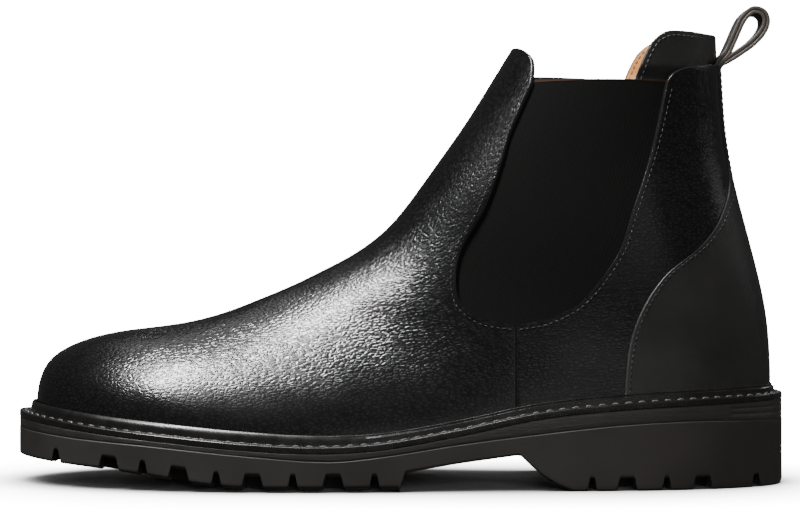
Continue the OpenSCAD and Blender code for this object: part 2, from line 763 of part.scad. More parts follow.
// Scales of the rings inside the boot, along and across
SOCK_RING = [0.93, 0.81];
INSOLE_RING = [0.95, 0.835];
WELT_INNER_RING = [0.94, 0.81];
RIB_OUTER_RING = [0.93, 0.79];
RIB_INNER_RING = [0.915, 0.74];
CORK_RING = [0.905, 0.72];

module sock_liner() {
    low = PLATE_GAP + insole_t + PLATE_GAP;
    color("#c09462") plate(inner_ring(SOCK_RING[0], SOCK_RING[1]), low + sock_t, low);
}

module insole_board() {
    color("#a87b4f")
        plate(inner_ring(INSOLE_RING[0], INSOLE_RING[1]), PLATE_GAP + insole_t, PLATE_GAP);
}

// The rib under the insole board that the welt is sewn to
module insole_rib() {
    outer = inner_ring(RIB_OUTER_RING[0], RIB_OUTER_RING[1]);
    inner = inner_ring(RIB_INNER_RING[0], RIB_INNER_RING[1]);
    color("#d9cfb8")
        ring_sweep([
            for (k = [0 : len(outer) - 1])
                [
                    on_welt(inner[k], -welt_t),
                    on_welt(inner[k], 0),
                    on_welt(outer[k], 0),
                    on_welt(outer[k], -welt_t)
                ]
        ]);
}

// A point in plan, at a height from the welt's top
function on_welt(p, rise) = [p[0], p[1], height(WELT_TOP, p[0]) + rise];

module cork_filler() {
    color("#a9805a")
        plate(inner_ring(CORK_RING[0], CORK_RING[1]), -shank_t - 2 * PLATE_GAP, -welt_t);
}

module shank() {
    top = profile_points(WELT_TOP, -15, -15 + shank_l, 20);
    color("silver")
        translate([0, -MIDDLE_Y, 0])
            across(concat(shifted(top, -PLATE_GAP - shank_t), reversed(shifted(top, -PLATE_GAP))),
                shank_w);
}

module welt() {
    inner = inner_ring(WELT_INNER_RING[0], WELT_INNER_RING[1]);
    base = centred(foot_ring(1));
    lip = centred(foot_ring(lip_h));
    n = len(RING);
    color("#191818")
        ring_sweep([
            for (k = [0 : n - 1])
                let (out = RING_OUT[k])
                [
                    on_welt(inner[k], -welt_t),
                    on_welt(inner[k], 0),
                    on_welt(RING[k] + LIP_GAP * out, 0),
                    on_welt(base[k] + LIP_GAP * out, 1),
                    on_welt(lip[k] + LIP_GAP * out, lip_h),
                    on_welt(lip[k] + (LIP_GAP + lip_t * 0.8) * out, lip_h - 0.3),
                    on_welt(base[k] + (LIP_GAP + lip_t) * out, 1.2),
                    on_welt(RING[k] + (LIP_GAP + lip_t + 0.4) * out, 0),
                    on_welt(SOLE_EDGE[k], 0),
                    on_welt(SOLE_EDGE[k], -welt_t)
                ]
        ]);
}

LIP_GAP = 0.6;             // gap between the lip and the upper
THREAD_INSET = 2.4;        // distance of the stitching from the welt's edge
THREAD_SIDES = 6;

function centred(ring) = [for (p = ring) p - [0, MIDDLE_Y]];

module welt_thread() {
    path = inset(THREAD_INSET);
    r = thread_d / 2;
    color("#3a3836")
        ring_sweep([
            for (k = [0 : len(path) - 1])
                [
                    for (i = [0 : THREAD_SIDES - 1])
                        let (a = -360 * i / THREAD_SIDES)
                        on_welt(path[k] + r * cos(a) * RING_OUT[k], r + 0.1 + r * sin(a))
                ]
        ]);
}

// Even points along the sole, used for every face that two of its layers share
SLAB_STEPS = 60;
SLAB_X = 156;

module midsole() {
    over = profile_points(WELT_TOP, -SLAB_X, SLAB_X, SLAB_STEPS);
    under = profile_points(RUBBER_TOP, -SLAB_X, SLAB_X, SLAB_STEPS);
    color("#211f1e")
        sole_slab(concat(shifted(over, -welt_t - PLATE_GAP), reversed(shifted(under, PLATE_GAP))), SOLE_EDGE);
}

// Height of the tread's lowest face at x
function tread_z(x) =
    x < 0 ? lookup(x, TREAD) : lookup(x, HEEL_BACK);

module outsole() {
    top = profile_points(RUBBER_TOP, -SLAB_X, SLAB_X, SLAB_STEPS);
    ground = concat([[-SLAB_X, TREAD[0][1]]], TREAD, WAIST, slice(BREAST, 1, 4), HEEL_BACK,
        [[SLAB_X, HEEL_BACK[1][1]]]);
    color("#181818")
        difference() {
            sole_slab(concat(top, reversed(ground)), SOLE_EDGE);
            for (gap = concat(FRONT_GAPS, HEEL_GAPS))
                lug_gap(gap[0], gap[1]);
            tread_pocket(-122, -12);
            tread_pocket(78, 136);
        }
}

// A tapered gap between two lugs, at both edges of the sole
module lug_gap(x, width) {
    z = tread_z(x);
    low = width / 2 + 0.1;
    high = width * (width > WIDE_GAP ? WIDE_TAPER : NARROW_TAPER) / 2;
    top = z + lug_depth;
    middle = (sole_y(x, LATERAL) + sole_y(x, MEDIAL)) / 2;
    half = (sole_y(x, MEDIAL) - sole_y(x, LATERAL)) / 2;
    for (side = [LATERAL, MEDIAL])
        translate([0, middle + side * (half + 10 - lug_reach / 2), 0])
            across([[x - low, z - 2], [x + low, z - 2], [x + high, top], [x - high, top]],
                lug_reach + 20);
}

// y of the sole's edge at x on one side
function sole_y(x, side) =
    let (
        half = len(SOLE_EDGE) / 2,
        edge = side == LATERAL
            ? [for (k = [0 : half]) SOLE_EDGE[k]]
            : [for (k = [0 : half]) SOLE_EDGE[(2 * half - k) % (2 * half)]]
    )
    lookup(x, edge);

// The sunk middle of the tread between the edge lugs, with studs left standing in it
module tread_pocket(x0, x1) {
    margin = lug_reach + POCKET_WALL;
    stud_pitch = 22;
    studs = floor((x1 - x0 - 14) / stud_pitch);
    outline = concat(
        [for (k = [0 : 8]) let (x = x0 + (x1 - x0) * k / 8) [x, sole_y(x, LATERAL) + margin]],
        [for (k = [8 : -1 : 0]) let (x = x0 + (x1 - x0) * k / 8) [x, sole_y(x, MEDIAL) - margin]]
    );
    middle = (sole_y((x0 + x1) / 2, LATERAL) + sole_y((x0 + x1) / 2, MEDIAL)) / 2;
    intersection() {
        translate([0, 0, -5])
            linear_extrude(40)
                difference() {
                    polygon(outline);
                    for (k = [0 : studs - 1])
                        translate([x0 + 14 + stud_pitch * (k + 0.4), middle])
                            stud(16, 5);
                }
        across(
            concat(
                [[x0 - 5, -5], [x1 + 5, -5]],
                [
                    for (k = [8 : -1 : 0])
                        let (x = x0 - 4 + (x1 - x0 + 8) * k / 8)
                        [x, tread_z(x) + lug_depth - 1]
                ]
            ),
            140
        );
    }
}

// A cross-shaped stud in plan
module stud(span, arm) {
    square([span, arm], center = true);
    square([arm, span], center = true);
}

vamp();
vamp_shaft();
quarter(LATERAL);  // quarter_lateral
quarter(MEDIAL);  // quarter_medial
heel_counter();
heel_tab();
gore(LATERAL);  // gore_lateral
gore(MEDIAL);  // gore_medial
pull_loop();
pull_loop_tail();
vamp_lining();
vamp_shaft_lining();
quarter_lining(LATERAL);  // quarter_lining_lateral
quarter_lining(MEDIAL);  // quarter_lining_medial
heel_grip();
toe_puff();
heel_stiffener();
sock_liner();
insole_board();
insole_rib();
cork_filler();
shank();
welt();
welt_thread();
midsole();
outsole();
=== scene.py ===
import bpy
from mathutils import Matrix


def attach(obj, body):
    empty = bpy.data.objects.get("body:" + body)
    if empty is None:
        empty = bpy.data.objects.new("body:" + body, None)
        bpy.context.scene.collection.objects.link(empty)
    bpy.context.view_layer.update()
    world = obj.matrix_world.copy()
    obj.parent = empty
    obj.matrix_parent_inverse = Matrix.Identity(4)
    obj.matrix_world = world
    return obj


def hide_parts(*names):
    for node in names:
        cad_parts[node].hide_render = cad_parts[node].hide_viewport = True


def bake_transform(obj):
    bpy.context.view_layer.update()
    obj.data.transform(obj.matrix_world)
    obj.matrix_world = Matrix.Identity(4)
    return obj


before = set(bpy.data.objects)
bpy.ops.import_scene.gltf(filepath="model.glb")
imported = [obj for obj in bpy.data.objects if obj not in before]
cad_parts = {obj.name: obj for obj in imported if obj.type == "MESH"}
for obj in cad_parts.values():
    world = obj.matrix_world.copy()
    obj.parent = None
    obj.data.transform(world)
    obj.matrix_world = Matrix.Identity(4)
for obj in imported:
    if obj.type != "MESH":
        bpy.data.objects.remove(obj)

"""Looks of a left chelsea boot on a one-piece lug sole.

Lengths are in millimetres until a mesh is made, where MM turns them into metres. The upper is
laid out on the same last as the CAD: a point of the last is [s, t], where s runs from the top
opening to the toe tip and t runs round a section from the front ridge (0) to the back (1), with
the outer side negative.
"""

import bmesh
import bpy
import numpy as np
from mathutils import Vector

MM = 0.001
LATERAL, MEDIAL = -1, 1
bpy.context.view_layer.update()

# ---------- the last and the seams, as the CAD has them ----------

# Front ridge X and Z, back X and Z, half widths outward and inward, roundness front and back
LAST = np.array([
    [57, 191, 126.5, 193, 31, 31, .5, .5],
    [45.5, 173, 127.5, 173, 32.5, 32, .5, .5],
    [36, 157.5, 128.2, 155, 33.5, 33, .5, .5],
    [26.5, 142, 129.5, 137, 34, 33.5, .5, .5],
    [16, 127.5, 132.5, 120, 34.5, 34, .5, .48],
    [6.5, 114, 137, 103, 35.5, 35, .5, .46],
    [-1.5, 103.5, 141.5, 86, 36, 35.5, .5, .44],
    [-9, 96.5, 145.5, 69, 36, 35.5, .5, .42],
    [-17.5, 90.5, 147, 52, 36, 35.5, .5, .4],
    [-26, 86, 147.2, 36, 36.5, 35.5, .5, .38],
    [-34, 82, 146, 20, 38, 35.5, .5, .34],
    [-43, 77.5, 136, 6, 39.5, 34.5, .5, .28],
    [-53, 73.5, 104, 4, 41, 35, .5, .22],
    [-65, 68.5, 62, 2, 43.5, 38, .5, .2],
    [-79, 64, 22, 0, 47, 43, .48, .2],
    [-94, 61.5, -18, -3, 50, 47, .46, .2],
    [-109, 60, -58, -3, 49, 48, .44, .2],
    [-122, 57.5, -92, 0, 43, 43.5, .44, .2],
    [-133, 53.5, -118, 6, 33.5, 34, .46, .2],
    [-140.5, 48.5, -134, 12, 23, 23.5, .48, .22],
    [-144, 42, -142, 19, 13, 13, .5, .25],
    [-145.4, 35, -145, 24, 5.5, 5.5, .5, .3],
    [-145.6, 28.5, -145.6, 27.5, .3, .3, .5, .35],
])
SECTIONS = len(LAST) - 1
TOE_SWING, TOE_SWING_FROM, TOE_SWING_OVER = 6, -40, 105

TAB_EDGE = [[47, 171.8], [49.5, 170], [51.5, 167], [52, 163], [51.5, 157]]
GORE = [
    [51.5, 157], [43, 137.5], [39.5, 125.5], [33, 108], [24, 92], [22, 80], [24, 71], [32, 65],
    [45, 63], [58, 65.5], [71, 73], [84, 90], [90, 107], [98, 131], [104, 157],
]
GORE_CORNER, GORE_FOOT = 6, 8          # places in the list of the front corner and the foot
GORE_FOOT_Z = GORE[GORE_FOOT][1]
GORE_LAP = 7
QUARTER_TOP = [[104, 157], [106, 160], [111, 162.5], [119, 164], [128.7, 165.3]]
COUNTER_SEAM = [
    [86, 33.5], [88.5, 55], [94, 70], [103, 82.5], [116, 92.5], [124.5, 102.5], [129.5, 114],
]
BACKSTAY_HALF = 7
TAB_FRONT = [[91, 147], [92.3, 158], [95, 166], [98.5, 172.3]]
TAB_TOP = [[98.5, 172.3], [102.5, 175.7], [108, 177.3], [126, 177]]
TAB_FOOT = [[91, 147], [129, 147]]
LINING_TOP = [[102, 146.5], [116, 146.5], [129.5, 146.5]]
SIDE_SEAM_X = 45
SEAM_GAP = 0.06
HINGE_SECTION = 5
HEEL_X = 147

WELT_TOP = [
    [-153, 28.5], [-120, 24.3], [-90, 21.3], [-60, 18.6], [-32, 17.3], [-7, 18.6],
    [23, 23.7], [54, 30], [85, 33.2], [116, 34.8], [153, 36],
]
RUBBER_TOP = [
    [-153, 22], [-126, 19.3], [-95, 17.2], [-56, 13.7], [-27, 11.8], [-7, 13.5],
    [23, 18], [54, 21.8], [85, 25], [116, 26.3], [153, 25.5],
]
TREAD = [
    [-153, 10.5], [-132, 8.3], [-114, 6.6], [-95, 4.3], [-78, 1.8], [-63, .3], [-50, 0], [0, 0],
]
WAIST_AND_HEEL = [
    [2.5, 7.5], [23, 10.8], [46, 13.8], [50, 10], [54.5, 6], [60, 2.6], [66, 0], [149, 0], [153, 2],
]
# Gaps between the lugs, [x, width at the ground]
LUG_GAPS = [
    [-133, 4], [-111, 8.4], [-97.5, 4], [-83.5, 8.4], [-69, 4], [-55.3, 8.4], [-40, 4],
    [-24.8, 8.4], [-9.2, 4], [73.6, 4], [87, 8.4], [102.3, 4], [116.5, 8.4], [138.5, 4],
]
WIDE_GAP, WIDE_TAPER, NARROW_TAPER = 6, .62, .35
LUG_DEPTH, LUG_REACH, POCKET_WALL = 4.8, 20, 4
TREAD_POCKETS = [[-122, -12], [78, 136]]
WELT_SIDE, WELT_TOE, WELT_HEEL = 6, 6.8, 5.4
TOE_X, TOE_OVER, HEEL_FROM_X, HEEL_OVER = -100, 45, 90, 55
WELT_T, LIP_H, LIP_T, LIP_GAP = 2.6, 3.6, 1.6, .6
THREAD_INSET = 2.4

# Depths of the layers, from the outer face of the leather
LEATHER_T = 1.8
CORE_OUT, CORE_IN = -2.1, -3.4
LINING_OUT, LINING_IN = -3.7, -4.8
GRIP_OUT, GRIP_IN = -5.1, -6.2
LINING_T, GRIP_T = LINING_OUT - LINING_IN, GRIP_OUT - GRIP_IN
LEATHER_RISE, LINING_RISE = .3, 1.5
COUNTER_PROUD = .8         # how far the counter's edge stands over the quarter

# ---------- curves ----------


def ease(u):
    """Smooth rise from 0 to 1."""
    c = np.clip(u, 0, 1)
    return c * c * (3 - 2 * c)


def fade(distance, over):
    """1 that falls smoothly to 0 over a distance."""
    return 1 - ease(distance / over)


def crowded(n):
    """n + 1 shares from 0 to 1, drawn together at both ends."""
    return (1 - np.cos(np.pi * np.arange(n + 1) / n)) / 2


def unit(vectors):
    return vectors / np.linalg.norm(vectors, axis=1)[:, None]


def to_right(ways):
    """Unit vectors square to some ways in a plane, on their right."""
    return unit(np.column_stack([ways[:, 1], -ways[:, 0]]))


def run_of(line):
    """Distance along a polyline at each of its points."""
    return np.concatenate([[0], np.cumsum(np.linalg.norm(np.diff(line, axis=0), axis=1))])


def sampled(line, marks, want):
    """Points of a polyline where the marks on its points reach the wanted values."""
    return np.column_stack([np.interp(want, marks, column) for column in line.T])


def even(line, n):
    """n + 1 points at even steps along a polyline."""
    line = np.asarray(line, float)
    run = run_of(line)
    return sampled(line, run, np.linspace(0, run[-1], n + 1))


def neighbours(points, i):
    """The four points round each step i of a list, which runs on straight past its ends."""
    padded = np.vstack([2 * points[0] - points[1], points, 2 * points[-1] - points[-2]])
    return (padded[i + k] for k in range(4))


def spline(points, per_step=12):
    """A smooth curve through a list of points."""
    p = np.asarray(points, float)
    u = np.linspace(0, len(p) - 1, per_step * (len(p) - 1) + 1)
    i = np.minimum(u.astype(int), len(p) - 2)
    f = (u - i)[:, None]
    a, b, c, d = neighbours(p, i)
    return 0.5 * (2 * b + (c - a) * f + (2 * a - 5 * b + 4 * c - d) * f ** 2
                  + (3 * b - a - 3 * c + d) * f ** 3)


def along(points, n):
    """n + 1 points at even steps along the smooth curve through a list."""
    return even(spline(points), n)


def at(line, fraction):
    """A polyline at fractions of its number of steps."""
    return sampled(line, np.arange(len(line)), fraction * (len(line) - 1))


def height(profile, x):
    """Height of a smooth profile at x."""
    px, pz = np.asarray(profile, float).T
    slope = np.empty(len(px))
    slope[1:-1] = (pz[2:] - pz[:-2]) / (px[2:] - px[:-2])
    slope[0] = (pz[1] - pz[0]) / (px[1] - px[0])
    slope[-1] = (pz[-1] - pz[-2]) / (px[-1] - px[-2])
    x = np.asarray(x, float)
    i = np.clip(np.searchsorted(px, x, side="right") - 1, 0, len(px) - 2)
    h = px[i + 1] - px[i]
    f = (x - px[i]) / h
    return (pz[i] * (2 * f ** 3 - 3 * f ** 2 + 1) + pz[i + 1] * (3 * f ** 2 - 2 * f ** 3)
            + h * slope[i] * (f ** 3 - 2 * f ** 2 + f) + h * slope[i + 1] * (f ** 3 - f ** 2))


def widened(points, distance):
    """A side-view line moved sideways, away from the elastic."""
    p = np.asarray(points, float)
    return p + distance * to_right(np.gradient(p, axis=0))


# ---------- the last ----------


def section(s):
    """The section at s, from a cubic B-spline through the list of sections."""
    s = np.asarray(s, float)
    i = np.clip(np.floor(s).astype(int), 0, SECTIONS - 1)
    f = (s - i)[..., None]
    a, b, c, d = neighbours(LAST, i)
    return ((1 - f) ** 3 * a + (3 * f ** 3 - 6 * f * f + 4) * b
            + (1 + 3 * f + 3 * f * f - 3 * f ** 3) * c + f ** 3 * d) / 6


def crown_of(r):
    """The factor that makes a section's widest place as wide as it is listed."""
    p, q = r[..., 6], r[..., 7]
    return (p + q) ** (p + q) / (p ** p * q ** q)


def raw_point(s, t):
    """A point on the last, before it is centred across the origin."""
    r = section(s)
    w = np.where(t > 1, t - 2, np.where(t < -1, t + 2, t))
    a = np.sin(np.pi / 2 * np.abs(w)) ** 2
    listed = np.where(w < 0, r[..., 4], r[..., 5])
    half = listed * crown_of(r) * a ** r[..., 6] * np.maximum(1 - a, 0) ** r[..., 7]
    middle = TOE_SWING * ease((TOE_SWING_FROM - r[..., 0]) / TOE_SWING_OVER)
    return np.stack([
        r[..., 0] + a * (r[..., 2] - r[..., 0]),
        middle + np.where(w < 0, -half, half),
        r[..., 1] + a * (r[..., 3] - r[..., 1]),
    ], -1)


def last_normal(s, t):
    """The outward normal of the last."""
    step = 0.01
    ds = raw_point(np.minimum(s + step, SECTIONS), t) - raw_point(s - step, t)
    dt = raw_point(s, t + step) - raw_point(s, t - step)
    n = np.cross(dt, ds)
    return n / np.maximum(np.linalg.norm(n, axis=-1), 1e-9)[..., None]


def last_point(grid, depth):
    """Points at a depth from the outer face of the leather."""
    s, t = grid[..., 0], grid[..., 1]
    shift = np.asarray(depth, float)[..., None] * last_normal(s, t)
    return raw_point(s, t) + shift - [0, MIDDLE_Y, 0]


HALVINGS = 26              # of the sections' range, to find a point's s


def on_last(points, side):
    """[s, t] of points given in side view."""
    x, z = np.atleast_2d(np.asarray(points, float)).T
    low, high = np.zeros(len(x)), np.full(len(x), float(SECTIONS))
    for _ in range(HALVINGS):
        mid = (low + high) / 2
        r = section(mid)
        above = (r[:, 2] - r[:, 0]) * (z - r[:, 1]) - (r[:, 3] - r[:, 1]) * (x - r[:, 0]) > 0
        low, high = np.where(above, low, mid), np.where(above, mid, high)
    s = (low + high) / 2
    r = section(s)
    line = np.column_stack([r[:, 2] - r[:, 0], r[:, 3] - r[:, 1]])
    a = ((x - r[:, 0]) * line[:, 0] + (z - r[:, 1]) * line[:, 1]) / (line ** 2).sum(1)
    t = np.arcsin(np.sqrt(np.clip(a, 0, 1))) / (np.pi / 2)
    return np.column_stack([s, side * t])


def seam(points, n, side):
    """n + 1 points of the last along a seam drawn in side view."""
    return on_last(along(points, n), side)


def wrapped(line):
    """The same for pieces that wrap the back, where t runs on past 1 on the outer side."""
    return np.column_stack([line[:, 0], np.where(line[:, 1] < 0, 2 + line[:, 1], line[:, 1])])


def welt_line(x, side, rise):
    """Points of the last a little above the welt, at x."""
    return on_last(np.column_stack([x, height(WELT_TOP, x) + rise]), side)


def s_at(t, line):
    """s where a line of [s, t] reaches t."""
    order = np.argsort(line[:, 1])
    return np.interp(t, line[order, 1], line[order, 0])


BACK_CROWDING = 1.3        # over 1 draws the points of a seam together towards the back


def around(points, n):
    """A seam that runs round to the back, from the inner side to the outer side."""
    fine = on_last(along(points, 8 * n), MEDIAL)
    t = 1 - (1 - fine[0, 1]) * (1 - np.arange(n + 1) / n) ** BACK_CROWDING
    s = s_at(t, fine)
    half = np.column_stack([s, t])
    return np.vstack([half, np.column_stack([s, 2 - t])[-2::-1]])


# ---------- the outline of the sole ----------

RING_STEPS = 520           # points round the sole


def foot_rings(rises, n=400):
    """The upper's lower edge in plan at some heights above the welt, before it is centred."""
    x = LAST[-1, 0] + (HEEL_X - LAST[-1, 0]) * crowded(n)
    rings = []
    for rise in rises:
        sides = [welt_line(x, side, rise) for side in (LATERAL, MEDIAL)]
        plan = [raw_point(g[:, 0], g[:, 1])[:, :2] for g in sides]
        tip = raw_point(np.array([SECTIONS]), np.array([0.0]))[:, :2]
        end = raw_point(sides[0][-1:, 0], np.array([1.0]))[:, :2]
        rings.append(np.vstack([tip, plan[0][1:-1], end, plan[1][-2:0:-1]]))
    return rings


def closed(ring):
    """A ring with its first point again at its end."""
    return np.vstack([ring, ring[:1]])


def ring_places(ring, n):
    """Places, counted in a ring's points, of n even steps round it."""
    run = run_of(closed(ring))
    return np.interp(np.arange(n) / n * run[-1], run, np.arange(len(run)))


def ring_normals(ring):
    """The outward direction at each point of a ring, softened a little."""
    n = to_right(np.roll(ring, -1, 0) - np.roll(ring, 1, 0))
    return unit(sum(np.roll(n, k, 0) for k in range(-4, 5)))


def welt_width(x):
    """The welt widens round the toe and narrows round the heel."""
    return (WELT_SIDE + (WELT_TOE - WELT_SIDE) * ease((TOE_X - x) / TOE_OVER)
            + (WELT_HEEL - WELT_SIDE) * ease((x - HEEL_FROM_X) / HEEL_OVER))


RAW_RINGS = foot_rings([0, 1, LIP_H])
PLACES = ring_places(RAW_RINGS[0], RING_STEPS)
RING, BASE_RING, LIP_RING = (
    sampled(closed(r), np.arange(len(r) + 1), PLACES) for r in RAW_RINGS
)
RING_OUT = ring_normals(RING)
SOLE_EDGE = RING + welt_width(RING[:, 0])[:, None] * RING_OUT
MIDDLE_Y = (SOLE_EDGE[:, 1].max() + SOLE_EDGE[:, 1].min()) / 2
for ring in (RING, BASE_RING, LIP_RING, SOLE_EDGE):
    ring[:, 1] -= MIDDLE_Y


def on_welt(plan, rise):
    """Points in plan at a height from the welt's top."""
    return np.column_stack([plan, height(WELT_TOP, plan[:, 0]) + rise])


# ---------- meshes ----------

EDGE_R = .55               # rounding of a cut leather edge
ROUND_STEPS = 4            # steps over that rounding
INSETS = EDGE_R * (1 - np.cos(np.linspace(0, np.pi / 2, ROUND_STEPS + 1)))
SHARP_ANGLE = np.radians(38)
FAR = 1e3                  # stands for the distance from an edge where none is near


def mesh(name, points, faces, finish, sharp=SHARP_ANGLE, **values):
    """A smooth-shaded object from points in millimetres, with its faces turned outwards.
    Each of values becomes a number on every point."""
    data = bpy.data.meshes.new(name)
    data.from_pydata((np.asarray(points) * MM).tolist(), [], [tuple(f) for f in faces])
    for key, numbers in values.items():
        numbers = np.asarray(numbers, np.float32)
        vectors = numbers.ndim == 2
        layer = data.attributes.new(key, "FLOAT_VECTOR" if vectors else "FLOAT", "POINT")
        layer.data.foreach_set("vector" if vectors else "value", numbers.ravel())
    work = bmesh.new()
    work.from_mesh(data)
    bmesh.ops.remove_doubles(work, verts=work.verts, dist=1e-6)
    bmesh.ops.recalc_face_normals(work, faces=work.faces)
    work.to_mesh(data)
    work.free()
    data.polygons.foreach_set("use_smooth", [True] * len(data.polygons))
    data.set_sharp_from_angle(angle=sharp)
    data.materials.append(finish)
    piece = bpy.data.objects.new(name, data)
    bpy.context.scene.collection.objects.link(piece)
    return piece


def run_steps(n, length, start=True, end=True):
    """Distances along runs of some length in n even steps, with close steps at rounded ends,
    and the distance of each from the nearer rounded end."""
    length = np.asarray(length, float)[..., None]
    tight = np.minimum(1, length / (6 * EDGE_R))
    low = EDGE_R * tight * start
    high = length - EDGE_R * tight * end
    parts = [low + (high - low) * np.linspace(0, 1, n + 1)]
    insets = INSETS[:-1] * tight
    if start:
        parts.insert(0, insets)
    if end:
        parts.append(length - insets[..., ::-1])
    place = np.concatenate(parts, -1)
    far = np.full(place.shape, FAR)
    return place, np.minimum(place if start else far, length - place if end else far)


def grid_faces(rows, cols, first=0, joined=False):
    """Quads of a grid of points. In a joined grid the last column meets the first."""
    r, c = np.meshgrid(np.arange(rows - 1), np.arange(cols if joined else cols - 1), indexing="ij")
    a = first + r * cols + c
    b = first + r * cols + (c + 1) % cols
    return np.stack([a, b, b + cols, a + cols], -1).reshape(-1, 4)


def tube_faces(rings, sides, first):
    """Faces of a closed tube of rings of points, with a flat cap at each end."""
    last = first + (rings - 1) * sides
    caps = [list(range(start, start + sides)) for start in (first, last)]
    return grid_faces(rings, sides, first, joined=True).tolist() + caps


def loops(name, points, finish, sharp=SHARP_ANGLE):
    """A solid from rows of points, where each row is a closed loop and both ends are lines."""
    faces = grid_faces(*points.shape[:2], joined=True)
    return mesh(name, points.reshape(-1, 3), faces, finish, sharp)


def sheet(*coordinates):
    """Points of a grid from its x, y and z, each of which may vary along one side only."""
    return np.stack(np.broadcast_arrays(*coordinates), -1)


def flow_of(outer):
    """Coordinates in metres that run with a piece: up its columns and along its rows, from
    its middle column."""
    up = np.linalg.norm(np.diff(outer, axis=0), axis=2)
    along_rows = np.linalg.norm(np.diff(outer, axis=1), axis=2)
    u = np.concatenate([np.zeros((1, outer.shape[1])), np.cumsum(up, 0)])
    v = np.concatenate([np.zeros((outer.shape[0], 1)), np.cumsum(along_rows, 1)], 1)
    v = v - v[:, outer.shape[1] // 2][:, None]
    return np.stack([u, v, np.zeros_like(u)], -1) * MM


def skin(name, grid, finish, out, inner, edge=None, ribs=0, flat_flow=False):
    """A closed solid over a grid of [s, t] between two depths. edge is each point's distance
    from the nearest rounded edge, and ribs a height added to the outer face. The grain runs
    with the grid, or level if flat_flow is set."""
    rows, cols = grid.shape[:2]
    edge = np.full((rows, cols), FAR) if edge is None else edge
    k = 1 - np.clip(edge / EDGE_R, 0, 1)
    drop = EDGE_R * (1 - np.sqrt(1 - k * k))
    outer = last_point(grid, out - drop + ribs)
    under = last_point(grid, np.broadcast_to(inner, (rows, cols)))
    layer = rows * cols
    rim = np.concatenate([
        np.arange(cols - 1),
        np.arange(rows - 1) * cols + cols - 1,
        (rows - 1) * cols + np.arange(cols - 1, 0, -1),
        np.arange(rows - 1, 0, -1) * cols,
    ])
    after = np.roll(rim, -1)
    faces = np.vstack([
        grid_faces(rows, cols),
        grid_faces(rows, cols, layer)[:, ::-1],
        np.column_stack([rim, after, after + layer, rim + layer]),
    ])
    points = np.vstack([outer.reshape(-1, 3), under.reshape(-1, 3)])
    cut = np.zeros(2 * layer)
    cut[:layer] = (1 - np.clip(edge / (0.5 * EDGE_R), 0, 1)).ravel()
    cut[layer + rim] = 1
    run = outer[..., [0, 2, 1]] * MM if flat_flow else flow_of(outer)
    flow = np.tile(run.reshape(-1, 3), (2, 1))
    return mesh(name, points, faces, finish, cut=cut, flow=flow)


def patch(bottom, top, left, right, u, v):
    """A grid of [s, t] between four edges, at fractions u along and v up."""
    b, t, l, r = at(bottom, u), at(top, u), at(left, v), at(right, v)
    u, v = u[None, :, None], v[:, None, None]
    return ((1 - v) * b[None] + v * t[None] + (1 - u) * l[:, None] + u * r[:, None]
            - (1 - u) * (1 - v) * b[0] - u * (1 - v) * b[-1] - (1 - u) * v * t[0] - u * v * t[-1])


def length_of(line):
    """Length in millimetres of a line of [s, t] on the last."""
    return np.linalg.norm(np.diff(last_point(line, np.zeros(len(line))), axis=0), axis=1).sum()


def edged_patch(bottom, top, left, right, columns, rows, sides):
    """A patch with close steps at its rounded sides (bottom, top, left, right), and each
    point's distance from them."""
    across, up = length_of(bottom), length_of(left)
    u, du = run_steps(columns, across, sides[2], sides[3])
    v, dv = run_steps(rows, up, sides[0], sides[1])
    grid = patch(bottom, top, left, right, u / across, v / up)
    return grid, np.minimum(du[None, :], dv[:, None])


# ---------- materials ----------


